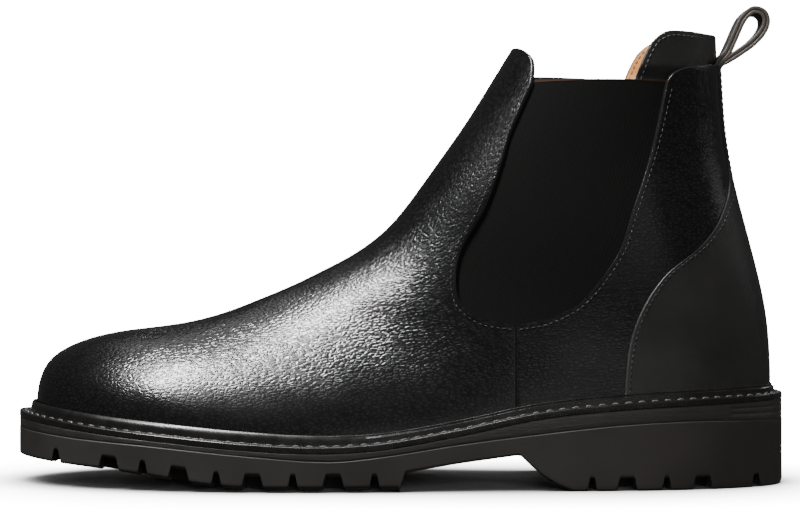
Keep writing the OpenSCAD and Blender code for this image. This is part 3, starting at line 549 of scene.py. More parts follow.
class Finish:
    """A named material with the values that are the same all over, and short ways to add nodes."""

    def __init__(self, name, base, roughness, specular=0.5, metallic=0.0):
        self.made = bpy.data.materials.new(name)
        self.made.use_nodes = True
        self.tree = self.made.node_tree
        self.shader = self.tree.nodes["Principled BSDF"]
        self.constant("Base Color", (*base, 1))
        self.constant("Roughness", roughness)
        self.constant("Metallic", metallic)
        self.constant("Specular IOR Level", specular)

    def constant(self, name, value):
        self.shader.inputs[name].default_value = value

    def add(self, kind, inputs=None, **settings):
        node = self.tree.nodes.new(kind)
        for key, value in settings.items():
            setattr(node, key, value)
        for key, value in (inputs or {}).items():
            if isinstance(value, bpy.types.NodeSocket):
                self.tree.links.new(value, node.inputs[key])
            else:
                node.inputs[key].default_value = value
        return node

    def mapped(self, coords, scale):
        return self.add("ShaderNodeMapping", {"Vector": coords, "Scale": scale}).outputs["Vector"]

    def place(self, scale=(1, 1, 1)):
        """Object coordinates in metres, stretched by scale."""
        return self.mapped(self.add("ShaderNodeTexCoord").outputs["Object"], scale)

    def flow(self, scale=(1, 1, 1)):
        """Coordinates that run with the piece, stretched by scale."""
        run = self.add("ShaderNodeAttribute", attribute_name="flow").outputs["Vector"]
        return self.mapped(run, scale)

    def noise(self, vector, scale, detail=4.0, rough=0.55):
        inputs = {"Vector": vector, "Scale": scale, "Detail": detail, "Roughness": rough}
        return self.add("ShaderNodeTexNoise", inputs).outputs["Fac"]

    def math(self, operation, a, b=0.0, c=0.0):
        return self.add("ShaderNodeMath", {0: a, 1: b, 2: c}, operation=operation).outputs[0]

    def ranged(self, value, low, high, to_low=0.0, to_high=1.0):
        inputs = {"Value": value, "From Min": low, "From Max": high,
                  "To Min": to_low, "To Max": to_high}
        node = self.add("ShaderNodeMapRange", inputs, interpolation_type="SMOOTHSTEP")
        return node.outputs["Result"]

    def mix(self, factor, a, b):
        node = self.add("ShaderNodeMix", data_type="RGBA")
        for index, value in ((0, factor), (6, a), (7, b)):
            if isinstance(value, bpy.types.NodeSocket):
                self.tree.links.new(value, node.inputs[index])
            else:
                node.inputs[index].default_value = value if index == 0 else (*value, 1)
        return node.outputs[2]

    def attribute(self, name):
        return self.add("ShaderNodeAttribute", attribute_name=name).outputs["Fac"]

    def bump(self, height_value, distance, strength=1.0, normal=None):
        inputs = {"Height": height_value, "Distance": distance, "Strength": strength}
        if normal is not None:
            inputs["Normal"] = normal
        return self.add("ShaderNodeBump", inputs).outputs["Normal"]

    def link(self, socket, name):
        self.tree.links.new(socket, self.shader.inputs[name])

    def relief(self, height_value, depth, strength=.6):
        self.link(self.bump(height_value, depth, strength), "Normal")

    def rough(self, value, low, high):
        """Roughness between low and high by a noise's value."""
        self.link(self.ranged(value, .3, .7, low, high), "Roughness")

    def colour(self, factor, a, b):
        self.link(self.mix(factor, a, b), "Base Color")

    def colour_with_edge(self, face, name, edge):
        """The face's colour, and another where an attribute marks a cut or woven edge."""
        self.colour(self.attribute(name), face, edge)


def pebbles(n, vector, size, warp=0.35, crease=.3):
    """Height of a pebbled grain: domed cells parted by creases, about size metres across."""
    wobble = n.add("ShaderNodeTexNoise", {"Vector": vector, "Scale": 0.55 / size, "Detail": 2.0})
    offset = n.add("ShaderNodeVectorMath", {0: wobble.outputs["Color"], 1: (0.5, 0.5, 0.5)},
                   operation="SUBTRACT").outputs[0]
    moved = n.add("ShaderNodeVectorMath", {0: offset, "Scale": warp * size * 2},
                  operation="SCALE").outputs[0]
    place = n.add("ShaderNodeVectorMath", {0: vector, 1: moved}, operation="ADD").outputs[0]
    cells = n.add("ShaderNodeTexVoronoi", {"Vector": place, "Scale": 1 / size, "Randomness": 1.0},
                  feature="DISTANCE_TO_EDGE").outputs["Distance"]
    return n.ranged(cells, 0.0, crease)


# Depths, grain sizes and heights in the materials are in metres
BLACK = (.0035, .0035, .0035)
# The cut edges' own lighter tone, raised further to paint a highlight line along the leather's
# edges.
CUT_EDGE_AND_HIGHLIGHT = (.0075, .007, .0067)
GRAIN_DEPTH, GRAIN_SIZE, GRAIN_WARP = .000085, .00115, .24
FLOW_LOW_Z, FLOW_HIGH_Z = .06, .1      # between these heights the pebbles turn along the shaft


def grain_leather():
    """Black tumbled leather: long pebbles parted by fine creases, smoother low on the boot
    where the leather is stretched over the last, on the toe and towards the heel."""
    n = Finish("grain_leather", BLACK, .25)
    place = n.add("ShaderNodeSeparateXYZ", {"Vector": n.place()})
    x, z = place.outputs["X"], place.outputs["Z"]
    up = n.ranged(z, FLOW_LOW_Z, FLOW_HIGH_Z)
    low = pebbles(n, n.place((.5, .7, 1)), GRAIN_SIZE, GRAIN_WARP)
    high = pebbles(n, n.flow((.52, 1, 1)), GRAIN_SIZE, GRAIN_WARP)
    grain = n.math("MULTIPLY_ADD", up, n.math("SUBTRACT", high, low), low)
    patches = n.noise(n.place((.6, 1, 1)), 70, 3)
    off_welt, off_toe = n.ranged(z, .026, .05, .12, 1.0), n.ranged(x, -.14, -.1, .2, 1.0)
    to_heel = n.ranged(x, -.05, .09, 1.0, .4)
    loose = n.math("MULTIPLY", n.math("MULTIPLY", off_welt, off_toe), to_heel)
    soft = n.math("MULTIPLY", n.ranged(patches, .35, .7, .75, 1.1), loose)
    creases = n.bump(n.math("MULTIPLY", grain, soft), GRAIN_DEPTH, 1.0)
    n.link(n.bump(patches, .0004, .2, creases), "Normal")
    n.rough(patches, .19, .23)
    # Painted shade: the colour is darker in the creases between the pebbles and lighter on their
    # tops.
    face = n.mix(grain, (.0012, .0012, .0012), (.0036, .0036, .0036))
    # Cut edges get a lighter colour: partly the raw edge's own tone, partly a painted highlight
    # line.
    n.colour_with_edge(face, "cut", CUT_EDGE_AND_HIGHLIGHT)
    return n.made


def smooth_leather():
    """Black calf, with a fine grain and a few soft marks."""
    n = Finish("smooth_leather", BLACK, .42, .45)
    place = n.place()
    fine = pebbles(n, place, .0009, .5)
    marks = n.noise(place, 45, 4)
    relief = n.math("MULTIPLY_ADD", fine, .35, n.math("MULTIPLY", marks, .5))
    n.relief(relief, .00012)
    n.rough(marks, .38, .5)
    face = n.mix(marks, (.0033, .0033, .0033), (.0058, .0054, .005))
    # Cut edges get a lighter colour: partly the raw edge's own tone, partly a painted highlight
    # line.
    n.colour_with_edge(face, "cut", CUT_EDGE_AND_HIGHLIGHT)
    return n.made


def elastic():
    """Matt black webbing with fibres along its ribs and a brown woven edge."""
    n = Finish("elastic", (.002, .002, .002), .9, .06)
    n.constant("Sheen Weight", .03)
    n.constant("Sheen Roughness", .5)
    n.constant("Sheen Tint", (.25, .23, .22, 1))
    fibres = n.noise(n.place((1, 1, .12)), 5200, 3)
    weave = n.noise(n.place((.3, 1, 1)), 2600, 2)
    n.relief(n.math("ADD", fibres, weave), .0001)
    face = n.mix(fibres, (.0012, .0012, .0012), (.0032, .003, .0029))
    n.colour_with_edge(face, "selvage", (.02, .0115, .008))
    return n.made


def loop_strap():
    """The dark folded leather of the pull loop, worn lighter along its edges."""
    n = Finish("loop_strap", BLACK, .5, .45)
    place = n.place()
    grain = pebbles(n, place, .0011, .5)
    worn = n.noise(place, 350, 3)
    n.relief(grain, .0001)
    face = n.mix(worn, (.0032, .0028, .0025), (.0075, .0062, .0054))
    n.colour_with_edge(face, "cut", (.022, .018, .0145))
    return n.made


def lining_leather(name, base, dark):
    """Undyed lining leather: fine pores, a soft nap and faint handling marks."""
    n = Finish(name, base, .62, .3)
    n.constant("Sheen Weight", .15)
    n.constant("Sheen Roughness", .4)
    place = n.place()
    pores = n.noise(place, 3800, 3)
    cloud = n.noise(place, 38, 4)
    fine = pebbles(n, place, .0007, .5)
    relief = n.math("MULTIPLY_ADD", pores, .5, n.math("MULTIPLY", fine, .4))
    n.relief(relief, .00008)
    n.colour(n.ranged(cloud, .3, .72), base, dark)
    n.rough(pores, .55, .7)
    return n.made


def fibre_board(name, base, dark, speck):
    """Pressed board: matt, with long fibres and specks."""
    n = Finish(name, base, .8, .25)
    fibres = n.noise(n.place((.25, 1, 1)), 1500, 5)
    specks = n.ranged(n.noise(n.place(), 900, 2), .62, .72)
    n.relief(fibres, .00012)
    n.colour(specks, n.mix(fibres, base, dark), speck)
    return n.made


def cork():
    """Crushed cork in glue: grains of many browns."""
    n = Finish("cork", (.3, .16, .07), .85, .2)
    cells = n.add("ShaderNodeTexVoronoi", {"Vector": n.place(), "Scale": 620.0})
    shade = n.add("ShaderNodeSeparateColor", {"Color": cells.outputs["Color"]}).outputs[0]
    n.colour(shade, (.36, .2, .09), (.16, .075, .03))
    n.relief(cells.outputs["Distance"], .0003, .7)
    return n.made


def brushed_steel():
    """Spring steel, ground lengthwise."""
    n = Finish("shank_steel", (.52, .52, .53), .35, metallic=1.0)
    lines = n.noise(n.place((.02, 1, 1)), 9000, 3)
    n.relief(lines, .00003, .5)
    n.rough(lines, .25, .45)
    n.colour(n.noise(n.place(), 120), (.46, .46, .47), (.6, .6, .6))
    return n.made


def welt_leather():
    """Black welt leather, waxed and burnished along its edge."""
    n = Finish("welt_leather", BLACK, .27, .4)
    place = n.place()
    fibres = n.noise(n.place((.3, .3, 1)), 1800, 4)
    marks = n.noise(place, 160, 3)
    n.relief(n.math("ADD", fibres, marks), .00005, .4)
    n.rough(marks, .23, .3)
    n.colour(marks, (.002, .0019, .0018), (.005, .0046, .0043))
    return n.made


def thread(name, base, dark):
    """Waxed thread, twisted."""
    n = Finish(name, base, .5, .4)
    wave = n.add("ShaderNodeTexWave", {"Vector": n.place(), "Scale": 700.0, "Distortion": 1.0},
                 wave_type="BANDS", bands_direction="DIAGONAL").outputs["Fac"]
    n.relief(wave, .00008)
    n.colour(wave, base, dark)
    return n.made


def midsole_leather():
    """Stacked, dyed edge of the midsole with fine lines along it."""
    n = Finish("midsole_leather", BLACK, .5, .4)
    layers = n.noise(n.place((.02, .02, 1)), 2600, 3)
    marks = n.noise(n.place(), 220, 3)
    n.relief(layers, .00016)
    n.rough(marks, .42, .58)
    n.colour(layers, (.0048, .0044, .0041), (.0096, .0087, .0079))
    return n.made


def lug_rubber():
    """Moulded rubber: matt black-brown with a fine mould texture and dusty patches."""
    n = Finish("lug_rubber", BLACK, .62, .4)
    place = n.place()
    spark = n.noise(place, 2400, 2)
    dust = n.noise(place, 28, 4)
    n.relief(spark, .00007, .5)
    n.rough(dust, .55, .72)
    n.colour(dust, (.0042, .0037, .0034), (.0084, .0071, .0064))
    return n.made


GRAIN = grain_leather()
SMOOTH = smooth_leather()
ELASTIC = elastic()
STRAP = loop_strap()
LINING = lining_leather("lining_leather", (.4, .17, .05), (.27, .105, .028))
GRIP = lining_leather("grip_leather", (.44, .2, .065), (.3, .125, .037))
WELT = welt_leather()
THREAD = thread("thread", (.036, .035, .033), (.014, .0135, .013))
DARK_THREAD = thread("upper_thread", (.009, .0088, .0085), (.003, .003, .003))
BLACK_THREAD = thread("counter_thread", (.004, .004, .004), (.002, .002, .002))
BROWN_THREAD = thread("lining_thread", (.22, .1, .04), (.1, .045, .018))
MIDSOLE = midsole_leather()
RUBBER = lug_rubber()
BOARD = fibre_board("stiffener_board", (.6, .5, .36), (.45, .36, .24), (.3, .2, .12))
INSOLE = fibre_board("insole_leather", (.42, .24, .12), (.3, .16, .07), (.2, .1, .045))
RIB = fibre_board("rib_tape", (.66, .6, .46), (.5, .44, .32), (.35, .28, .18))
CORK = cork()
STEEL = brushed_steel()

# ---------- outer leather ----------

# s on the front ridge across from the ear's top, the elastic's foot, the side seam's foot and
# the toe's end
RIDGE_TOP, FOOT_RIDGE, SEAM_RIDGE, RIDGE_TOE = 1.06, 11.4, 12.4, SECTIONS - 0.05


def bend_front(piece):
    """The piece's placing is baked into its points."""
    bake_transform(piece)


def ride_on_boot(piece):
    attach(piece, "boot")


def vamp_edge(side, rise, rows):
    """The vamp's free edge on one side: the ear, the elastic, the side seam and the welt."""
    ear = seam(TAB_EDGE, rows[0], side)
    gore = seam(GORE[:GORE_FOOT + 1], rows[1], side)
    welt_z = float(height(WELT_TOP, SIDE_SEAM_X)) + rise
    down = seam([[SIDE_SEAM_X, GORE_FOOT_Z], [SIDE_SEAM_X, welt_z]], rows[2], side)
    end_x = LAST[-1, 0] + 0.2
    x = SIDE_SEAM_X + (end_x - SIDE_SEAM_X) * np.sin(np.linspace(0, np.pi / 2, rows[3] + 1))
    return np.vstack([ear, gore[1:], down[1:], welt_line(x, side, rise)[1:]])


def vamp_grid(columns, rise, rows, rounded, inset=0.0):
    """The vamp from its outer edge over the front ridge to its inner edge, and each point's
    distance from a rounded edge."""
    lateral, medial = (vamp_edge(side, rise, rows) for side in (LATERAL, MEDIAL))
    count = np.arange(len(lateral))
    foot, seam_end = sum(rows[:2]), sum(rows[:3])
    hinge = int(np.searchsorted(lateral[:foot, 0], HINGE_SECTION))
    marks = [0, hinge, foot, seam_end, count[-1]]
    ridge_s = np.interp(count, marks, [RIDGE_TOP, HINGE_SECTION, FOOT_RIDGE, SEAM_RIDGE, RIDGE_TOE])
    to_foot = (count[hinge:foot] - hinge) / (foot - hinge)
    ridge_s[hinge:foot] = HINGE_SECTION + (FOOT_RIDGE - HINGE_SECTION) * to_foot ** 2
    step = np.linalg.norm(np.diff(last_point(lateral[:2], np.zeros(2)), axis=0))
    top, top_distance = np.array([inset / step]), np.array([FAR])
    if rounded:
        top, top_distance = INSETS / step, INSETS
    index = np.concatenate([top, count[count > top[-1] + .3]])
    ridge = np.column_stack([ridge_s, np.zeros(len(count))])
    lateral, medial, ridge = (sampled(line, count, index) for line in (lateral, medial, ridge))
    even_steps = np.ones((len(index), 1)) * np.linspace(0, 1, 41)
    over = last_point(at_rows(lateral, ridge, medial, even_steps), np.zeros(even_steps.shape))
    length = np.linalg.norm(np.diff(over, axis=1), axis=2).sum(1)
    place, distance = run_steps(columns, length - 2 * inset, rounded, rounded)
    grid = at_rows(lateral, ridge, medial, (place + inset) / length[:, None])
    down = np.full(len(index), FAR)
    down[:len(top_distance)] = top_distance
    return grid, np.minimum(distance, down[:, None])


def at_rows(lateral, ridge, medial, fraction):
    """Each row from the outer edge over the ridge to the inner edge, at its own fractions."""
    f = 2 * fraction[..., None]
    near = lateral[:, None] + (ridge - lateral)[:, None] * np.clip(f, 0, 1)
    return near + (medial - ridge)[:, None] * np.clip(f - 1, 0, 1)


# Rows of points along the ear, the elastic, the side seam and the welt
VAMP_ROWS, VAMP_LINING_ROWS = (14, 80, 22, 120), (8, 44, 12, 60)


def make_vamp():
    grid, edge = vamp_grid(110, LEATHER_RISE, VAMP_ROWS, True)
    piece = skin("leather_vamp", grid, GRAIN, 0, -LEATHER_T, edge)
    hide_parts("vamp", "vamp_shaft")
    bend_front(piece)


def quarter_front(side, rise, seam_rows, rows, top):
    """The front edge of a quarter, up the side seam and the rear of the elastic."""
    x = SIDE_SEAM_X + SEAM_GAP
    foot = [x, GORE_FOOT_Z]
    welt_z = float(height(WELT_TOP, x)) + rise
    rear = [foot] + [p for p in GORE[GORE_FOOT + 1:] if p[1] < top[1] - 1] + [top]
    return np.vstack([seam([[x, welt_z], foot], seam_rows, side), seam(rear, rows, side)[1:]])


def backstay_t(s):
    """t of the backstay's edge at s."""
    r = section(s)
    share = BACKSTAY_HALF / (r[..., 4] * crown_of(r))
    return np.arccos(share ** (.5 / r[..., 7])) / (np.pi / 2)


def counter_edge(side, gap):
    """The edge of the heel counter, up its curved seam and the backstay."""
    low = seam([[x + gap, z] for x, z in COUNTER_SEAM], 14, side)
    s = np.linspace(low[-1, 0] - .7, on_last(QUARTER_TOP[-1], side)[0, 0], 7)
    high = np.column_stack([s, side * (backstay_t(s) + gap / 100)])
    return even(spline(np.vstack([low, high])), 120)


def make_quarter(side, name):
    """Its front and top edges are rounded, and the rear one meets the counter."""
    left = quarter_front(side, LEATHER_RISE, 30, 90, QUARTER_TOP[0])
    right = counter_edge(side, 0)
    line = seam(QUARTER_TOP, 60, side)
    t = np.linspace(left[-1, 1], right[-1, 1], 61)
    top = np.column_stack([s_at(t, line), t])
    x = np.linspace(SIDE_SEAM_X + SEAM_GAP, COUNTER_SEAM[0][0], 41)
    bottom = np.vstack([welt_line(x, side, LEATHER_RISE)[:-1], right[:1]])
    grid, edge = edged_patch(bottom, top, left, right, 52, 120, (False, True, True, False))
    piece = skin(f"leather_{name}", grid, GRAIN, 0, -LEATHER_T, edge, flat_flow=True)
    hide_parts(name)
    ride_on_boot(piece)


def heel_line(x0, rise):
    """A line a little above the welt from x0 to the back of the heel."""
    x = np.linspace(x0, HEEL_X, 40)
    return np.column_stack([x, height(WELT_TOP, x) + rise])


def make_counter():
    left = counter_edge(MEDIAL, SEAM_GAP)
    right = wrapped(counter_edge(LATERAL, SEAM_GAP))
    bottom = around(heel_line(COUNTER_SEAM[0][0] + SEAM_GAP, LEATHER_RISE), 60)
    top = np.linspace(left[-1], right[-1], 121)
    bottom[0], bottom[-1] = left[0], right[0]
    grid, edge = edged_patch(bottom, top, left, right, 130, 120, (False, True, True, True))
    piece = skin("leather_counter", grid, SMOOTH, COUNTER_PROUD, -LEATHER_T, edge)
    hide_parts("heel_counter")
    ride_on_boot(piece)


# ---------- elastic ----------

RIBS = 58                  # ribs across the elastic
RIB_COLUMNS = 4            # columns of points in each rib
RIB_HEIGHT = .08
GORE_TOP_RISE = .7         # raises the top edge, which lies lower the deeper it is in the boot
BAND_RISE = .12            # how far the woven band along the top stands out
BAND_ROWS, BAND_FADE = 1.6, .8
HELD_FROM, HELD_OVER = .1, .82         # share of the width over which the held share falls from 1 to 0 rearward


def gore_grid(side, columns, rows):
    """The elastic with the laps that go under the leather, and its fraction front to rear."""
    wide = widened(GORE, GORE_LAP)
    top_z = GORE[0][1] + GORE_TOP_RISE
    left = seam([[wide[0, 0] + .4, top_z], *wide[:GORE_CORNER + 1]], rows, side)[::-1]
    right = seam([*wide[GORE_FOOT:], [wide[-1, 0] + .2, top_z]], rows, side)
    bottom = seam(wide[GORE_CORNER:GORE_FOOT + 1], columns, side)
    top = seam([[wide[0, 0], top_z], [wide[-1, 0], top_z]], columns, side)
    top[0], top[-1] = left[-1], right[-1]
    u, v = np.linspace(0, 1, columns + 1), np.linspace(0, 1, rows + 1)
    return patch(bottom, top, left, right, u, v), u


def make_gore(side, name):
    columns, rows = RIBS * RIB_COLUMNS, 110
    grid, u = gore_grid(side, columns, rows)
    top_band = ease((np.arange(rows + 1) - (rows - BAND_ROWS)) / BAND_FADE)[:, None]
    ribs = -RIB_HEIGHT * (.5 + .5 * np.cos(2 * np.pi * RIBS * u))
    ribs = ribs * (1 - top_band) + BAND_RISE * top_band
    piece = skin(name + "_webbing", grid, ELASTIC, CORE_OUT, CORE_IN, None, ribs)
    held = 1 - ease((u - HELD_FROM) / HELD_OVER)
    # Both hold for the outer and the inner layer, and the points lie row by row
    selvage, held = (np.tile(np.broadcast_to(v, ribs.shape).ravel(), 2) for v in (top_band, held))
    band = piece.data.attributes.new("selvage", "FLOAT", "POINT")
    band.data.foreach_set("value", selvage.astype(np.float32))
    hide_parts(name)
    bend_front(piece)


# ---------- linings and collar ----------


COLLAR_Z, COLLAR_OVER = 158, 6         # above the elastic's top the layers draw together
STRAP_Z, STRAP_OVER = 164.2, 3.2       # the same where the loop's strap comes out between them
STRAP_T, STRAP_T_OVER = .09, .08       # half width of that place, as t round the last
VAMP_SHIFT, SIDE_SHIFT, STRAP_SHIFT = 1.8, 1.75, 2.9
GRIP_SHIFT = .2            # how far the grip moves out towards the tab


def height_on_last(grid):
    return last_point(grid, np.zeros(grid.shape[:-1]))[..., 2]


def collar_shift(grid):
    """How far the collar's inner layers move out where nothing lies between them and the
    leather: above the elastic, and above the place where the loop's strap comes out."""
    z = height_on_last(grid)
    strap = 1 - ease((np.abs(np.abs(grid[..., 1]) - 1) - STRAP_T) / STRAP_T_OVER)
    return (SIDE_SHIFT * ease((z - COLLAR_Z) / COLLAR_OVER) * (1 - strap)
            + STRAP_SHIFT * ease((z - STRAP_Z) / STRAP_OVER) * strap)


LINING_INSET = 1.4         # the vamp's lining ends this far inside the leather's edge


def make_vamp_lining():
    grid, _ = vamp_grid(50, LINING_RISE, VAMP_LINING_ROWS, False, LINING_INSET)
    out = LINING_OUT + VAMP_SHIFT * ease((height_on_last(grid) - COLLAR_Z) / COLLAR_OVER)
    piece = skin("lining_vamp", grid, LINING, out, out - LINING_T)
    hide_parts("vamp_lining", "vamp_shaft_lining")
    bend_front(piece)


def make_quarter_lining(side, name):
    left = quarter_front(side, LINING_RISE, 16, 44, LINING_TOP[0])

    def to_back(points):
        half = around(points, 40)[:41]
        return np.column_stack([half[:, 0], side * np.minimum(half[:, 1], .9995)])

    bottom, top = to_back(heel_line(SIDE_SEAM_X + SEAM_GAP, LINING_RISE)), to_back(LINING_TOP)
    right = np.linspace(bottom[-1], top[-1], 61)
    grid = patch(bottom, top, left, right, np.linspace(0, 1, 41), np.linspace(0, 1, 61))
    piece = skin("lining_" + name, grid, LINING, LINING_OUT, LINING_IN)
    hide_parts(name)
    ride_on_boot(piece)


def wrap_piece(front, top, foot, rows):
    """A piece that wraps the back, from its front edge, its top edge and its lower edge."""
    bottom, upper = around(foot, 60), around(top, 60)
    left, right = seam(front, rows, MEDIAL), wrapped(seam(front, rows, LATERAL))
    bottom[0], bottom[-1], upper[0], upper[-1] = left[0], right[0], left[-1], right[-1]
    return edged_patch(bottom, upper, left, right, 110, 46, (False, True, True, True))


def make_heel_tab():
    grid, edge = wrap_piece(TAB_FRONT, TAB_TOP, TAB_FOOT, 60)
    out = LINING_OUT + collar_shift(grid)
    piece = skin("leather_heel_tab", grid, SMOOTH, out, out - LINING_T, edge)
    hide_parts("heel_tab")
    ride_on_boot(piece)


GRIP_BACK = .45            # how far the grip's edge lies behind the tab's edge
GRIP_LOW = [[112, 62], [104, 80], [99, 110], [93.5, 135]]
GRIP_FOOT = [[112, 62], [146.5, 62]]


def make_grip():
    front, top = ([[x + GRIP_BACK, z - GRIP_BACK] for x, z in line] for line in (TAB_FRONT, TAB_TOP))
    grid, edge = wrap_piece(GRIP_LOW + front, top, GRIP_FOOT, 80)
    out = GRIP_OUT + GRIP_SHIFT + collar_shift(grid)
    piece = skin("lining_heel_grip", grid, GRIP, out, out - GRIP_T, edge)
    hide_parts("heel_grip")
    ride_on_boot(piece)


# ---------- stitching ----------

THREAD_SIDES, THREAD_RINGS = 6, 7
THREAD_DIP = 1.6           # how deep a stitch's ends go in, in radii below its lift
STITCH_PITCH, STITCH_SHARE, STITCH_R = 2.3, .72, .22
STITCH_IN = 1.9            # distance of a row of stitches from the leather's edge
WELT_PITCH, WELT_SHARE, WELT_STITCH_R = 5.1, .6, .45
COLLAR_ROW_END_X = 122     # the collar's row stops before the loop
ROW_DROP, ROW_BACK = .6, .3            # its shift along the tab's front and top, for the corner


def stitches(name, points, normals, finish, pitch=STITCH_PITCH, share=STITCH_SHARE,
             radius=STITCH_R, lift=.35):
    """A row of single stitches along a line: each is a short thread that rises from the
    leather, lies along it and goes back in. share is a stitch's part of the pitch."""
    run = run_of(points)
    count = int(run[-1] / pitch)
    starts = (np.arange(count) + .5 - share / 2) * run[-1] / count
    f = np.linspace(0, 1, THREAD_RINGS)
    place = (starts[:, None] + f * pitch * share).ravel()
    up = unit(sampled(normals, run, place))
    ahead = unit(sampled(points, run, place + .05) - sampled(points, run, place - .05))
    side = np.cross(up, ahead)
    rise = np.tile(radius * (lift - THREAD_DIP * np.abs(2 * f - 1) ** 4), count)
    centre = sampled(points, run, place) + rise[:, None] * up
    angle = 2 * np.pi * np.arange(THREAD_SIDES)[:, None] / THREAD_SIDES
    ring = np.cos(angle) * side[:, None] + np.sin(angle) * up[:, None]
    body = (centre[:, None] + radius * ring).reshape(-1, 3)
    faces = []
    for k in range(count):
        faces += tube_faces(THREAD_RINGS, THREAD_SIDES, k * THREAD_RINGS * THREAD_SIDES)
    return mesh(name, body, faces, finish, sharp=np.pi)


def stitches_on_last(name, line, depth, finish, outward=1):
    """A row of stitches along a line of [s, t], on a leather's outer or inner face."""
    points = last_point(line, np.broadcast_to(depth, len(line)))
    return stitches(name, points, outward * last_normal(line[:, 0], line[:, 1]), finish)


def make_gore_stitches(side, word):
    """Two rows round the elastic's opening, which stop short of the side seam."""
    path = widened(GORE, STITCH_IN).tolist()
    before_seam, after_seam = ([SIDE_SEAM_X + gap, path[GORE_FOOT][1]] for gap in (-1, 1))
    top = [path[-1][0], path[-1][1] - STITCH_IN]
    front = seam(path[:GORE_FOOT] + [before_seam], 160, side)
    piece = stitches_on_last(f"stitches_vamp_{word}", front, 0, DARK_THREAD)
    bend_front(piece)
    rear = seam([after_seam] + path[GORE_FOOT + 1:-1] + [top], 160, side)
    ride_on_boot(stitches_on_last(f"stitches_quarter_{word}", rear, 0, DARK_THREAD))


def make_counter_stitches(side, word):
    line = counter_edge(side, SEAM_GAP + STITCH_IN)[:-2]
    ride_on_boot(stitches_on_last(f"stitches_counter_{word}", line, COUNTER_PROUD, BLACK_THREAD))


def make_collar_stitches(side, word):
    """A row inside the heel tab's edge, seen on its outer face and on the grip's inner face."""
    path = [[x + STITCH_IN, z - ROW_DROP] for x, z in TAB_FRONT[1:]]
    path += [[x + ROW_BACK, z - STITCH_IN] for x, z in TAB_TOP[1:]]
    path[-1][0] = COLLAR_ROW_END_X
    line = seam(path, 120, side)
    shift = collar_shift(line)
    ride_on_boot(stitches_on_last(f"stitches_tab_{word}", line, LINING_OUT + shift, THREAD))
    inner = GRIP_IN + GRIP_SHIFT + shift
    ride_on_boot(stitches_on_last(f"stitches_grip_{word}", line, inner, BROWN_THREAD, -1))


# ---------- pull loop ----------

# Middle line of the strap in side view: up from between the layers, round the loop and back
LOOP_PATH = [
    [126.2, 148], [125.5, 156], [125.4, 162], [127, 166.4], [130.2, 169.9], [132.3, 174.2],
    [134.3, 178.8], [136.9, 184], [140.7, 187.2], [144.6, 186.2], [145.9, 182.6], [144.3, 178.4],
    [140.6, 174.3], [136.4, 171.2], [132.2, 168.4], [128.6, 165.7], [126.6, 161.5], [126.9, 156],
]
LOOP_W = 14
LOOP_T = 1.55              # thickness of each of the strap's two layers
SKIVED = .4                # the strap's thickness between the leathers, as a share of LOOP_T
OUT_FROM, OUT_OVER, BACK_AT, BACK_OVER = .16, .1, .9, .08   # where along the path it thickens
LOOP_CORNER, CORNER_STEPS = .5, 5
LAYER_OFFSET = .52         # a layer's middle from the strap's middle, in thicknesses


def strap_layer(path, offset, first):
    """One layer of the strap: rounded long edges, thinner where it goes between the leathers."""
    n = len(path)
    across = -to_right(np.gradient(path, axis=0))
    f = np.linspace(0, 1, n)
    full = ease((f - OUT_FROM) / OUT_OVER) * ease((BACK_AT - f) / BACK_OVER)
    thick = LOOP_T * (SKIVED + (1 - SKIVED) * full)
    corners = np.repeat([[1, 1], [-1, 1], [-1, -1], [1, -1]], CORNER_STEPS, axis=0)
    quarter_turn = np.linspace(0, np.pi / 2, CORNER_STEPS)
    angle = np.concatenate([quarter_turn + k * np.pi / 2 for k in range(4)])
    y = corners[:, 0] * (LOOP_W / 2 - LOOP_CORNER) + LOOP_CORNER * np.cos(angle)
    half_t = thick[:, None] / 2
    round_t = np.minimum(LOOP_CORNER, half_t)
    out = corners[:, 1] * (half_t - round_t) + round_t * np.sin(angle) + 2 * offset * half_t
    x, z = (path[:, [k]] + across[:, [k]] * out for k in (0, 1))
    faces = tube_faces(n, len(y), first)
    cut = np.tile(np.abs(y) > LOOP_W / 2 - .8 * LOOP_CORNER, n).astype(float)
    return sheet(x, y - MIDDLE_Y, z).reshape(-1, 3), faces, cut


def make_pull_loop():
    path = along(LOOP_PATH, 150)
    points_a, faces_a, cut_a = strap_layer(path, LAYER_OFFSET, 0)
    points_b, faces_b, cut_b = strap_layer(path, -LAYER_OFFSET, len(points_a))
    points, cut = np.vstack([points_a, points_b]), np.concatenate([cut_a, cut_b])
    piece = mesh("pull_loop_strap", points, faces_a + faces_b, STRAP, cut=cut)
    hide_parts("pull_loop", "pull_loop_tail")
    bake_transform(piece)


# ---------- bottom ----------


def sweep(name, profiles, finish):
    """A closed strip swept round the sole: profiles is places round it by points by 3."""
    n, m = profiles.shape[:2]
    a = np.arange(n * m).reshape(n, m)
    b = np.roll(a, -1, 1)
    faces = np.stack([a, b, np.roll(b, -1, 0), np.roll(a, -1, 0)], -1).reshape(-1, 4)
    return mesh(name, profiles.reshape(-1, 3), faces, finish)


def arc(centre, radius, start, end, n):
    """Points of an arc in a section, in degrees from outward towards up."""
    a = np.radians(np.linspace(start, end, n))
    return np.column_stack([centre[0] + radius * np.cos(a), centre[1] + radius * np.sin(a)])


INNER_SCALE, MIDSOLE_INNER_SCALE = (.94, .81), (.86, .66)
LIP_R, LIP_EDGE = .45, .8              # rounding of the lip's top, and how far its face stands out
LIP_LOW, LIP_TALLER = .92, .27         # the lip's height in CAD lip heights, and more in front
FOREPART_FROM_X, FOREPART_OVER = -60, 80
GROOVE_HALF, GROOVE_DEPTH = .8, .22    # the thread's groove in the shelf
WELT_BEVEL, WELT_LOW_BEVEL = .65, .25
# From a share of the way between the lip's foot and top: outward from the lip, and height
LIP_FOOT = [(.6, LIP_T, 2.1), (.15, LIP_T, .55), (.05, LIP_T + .06, .18), (0, LIP_T + .3, 0)]
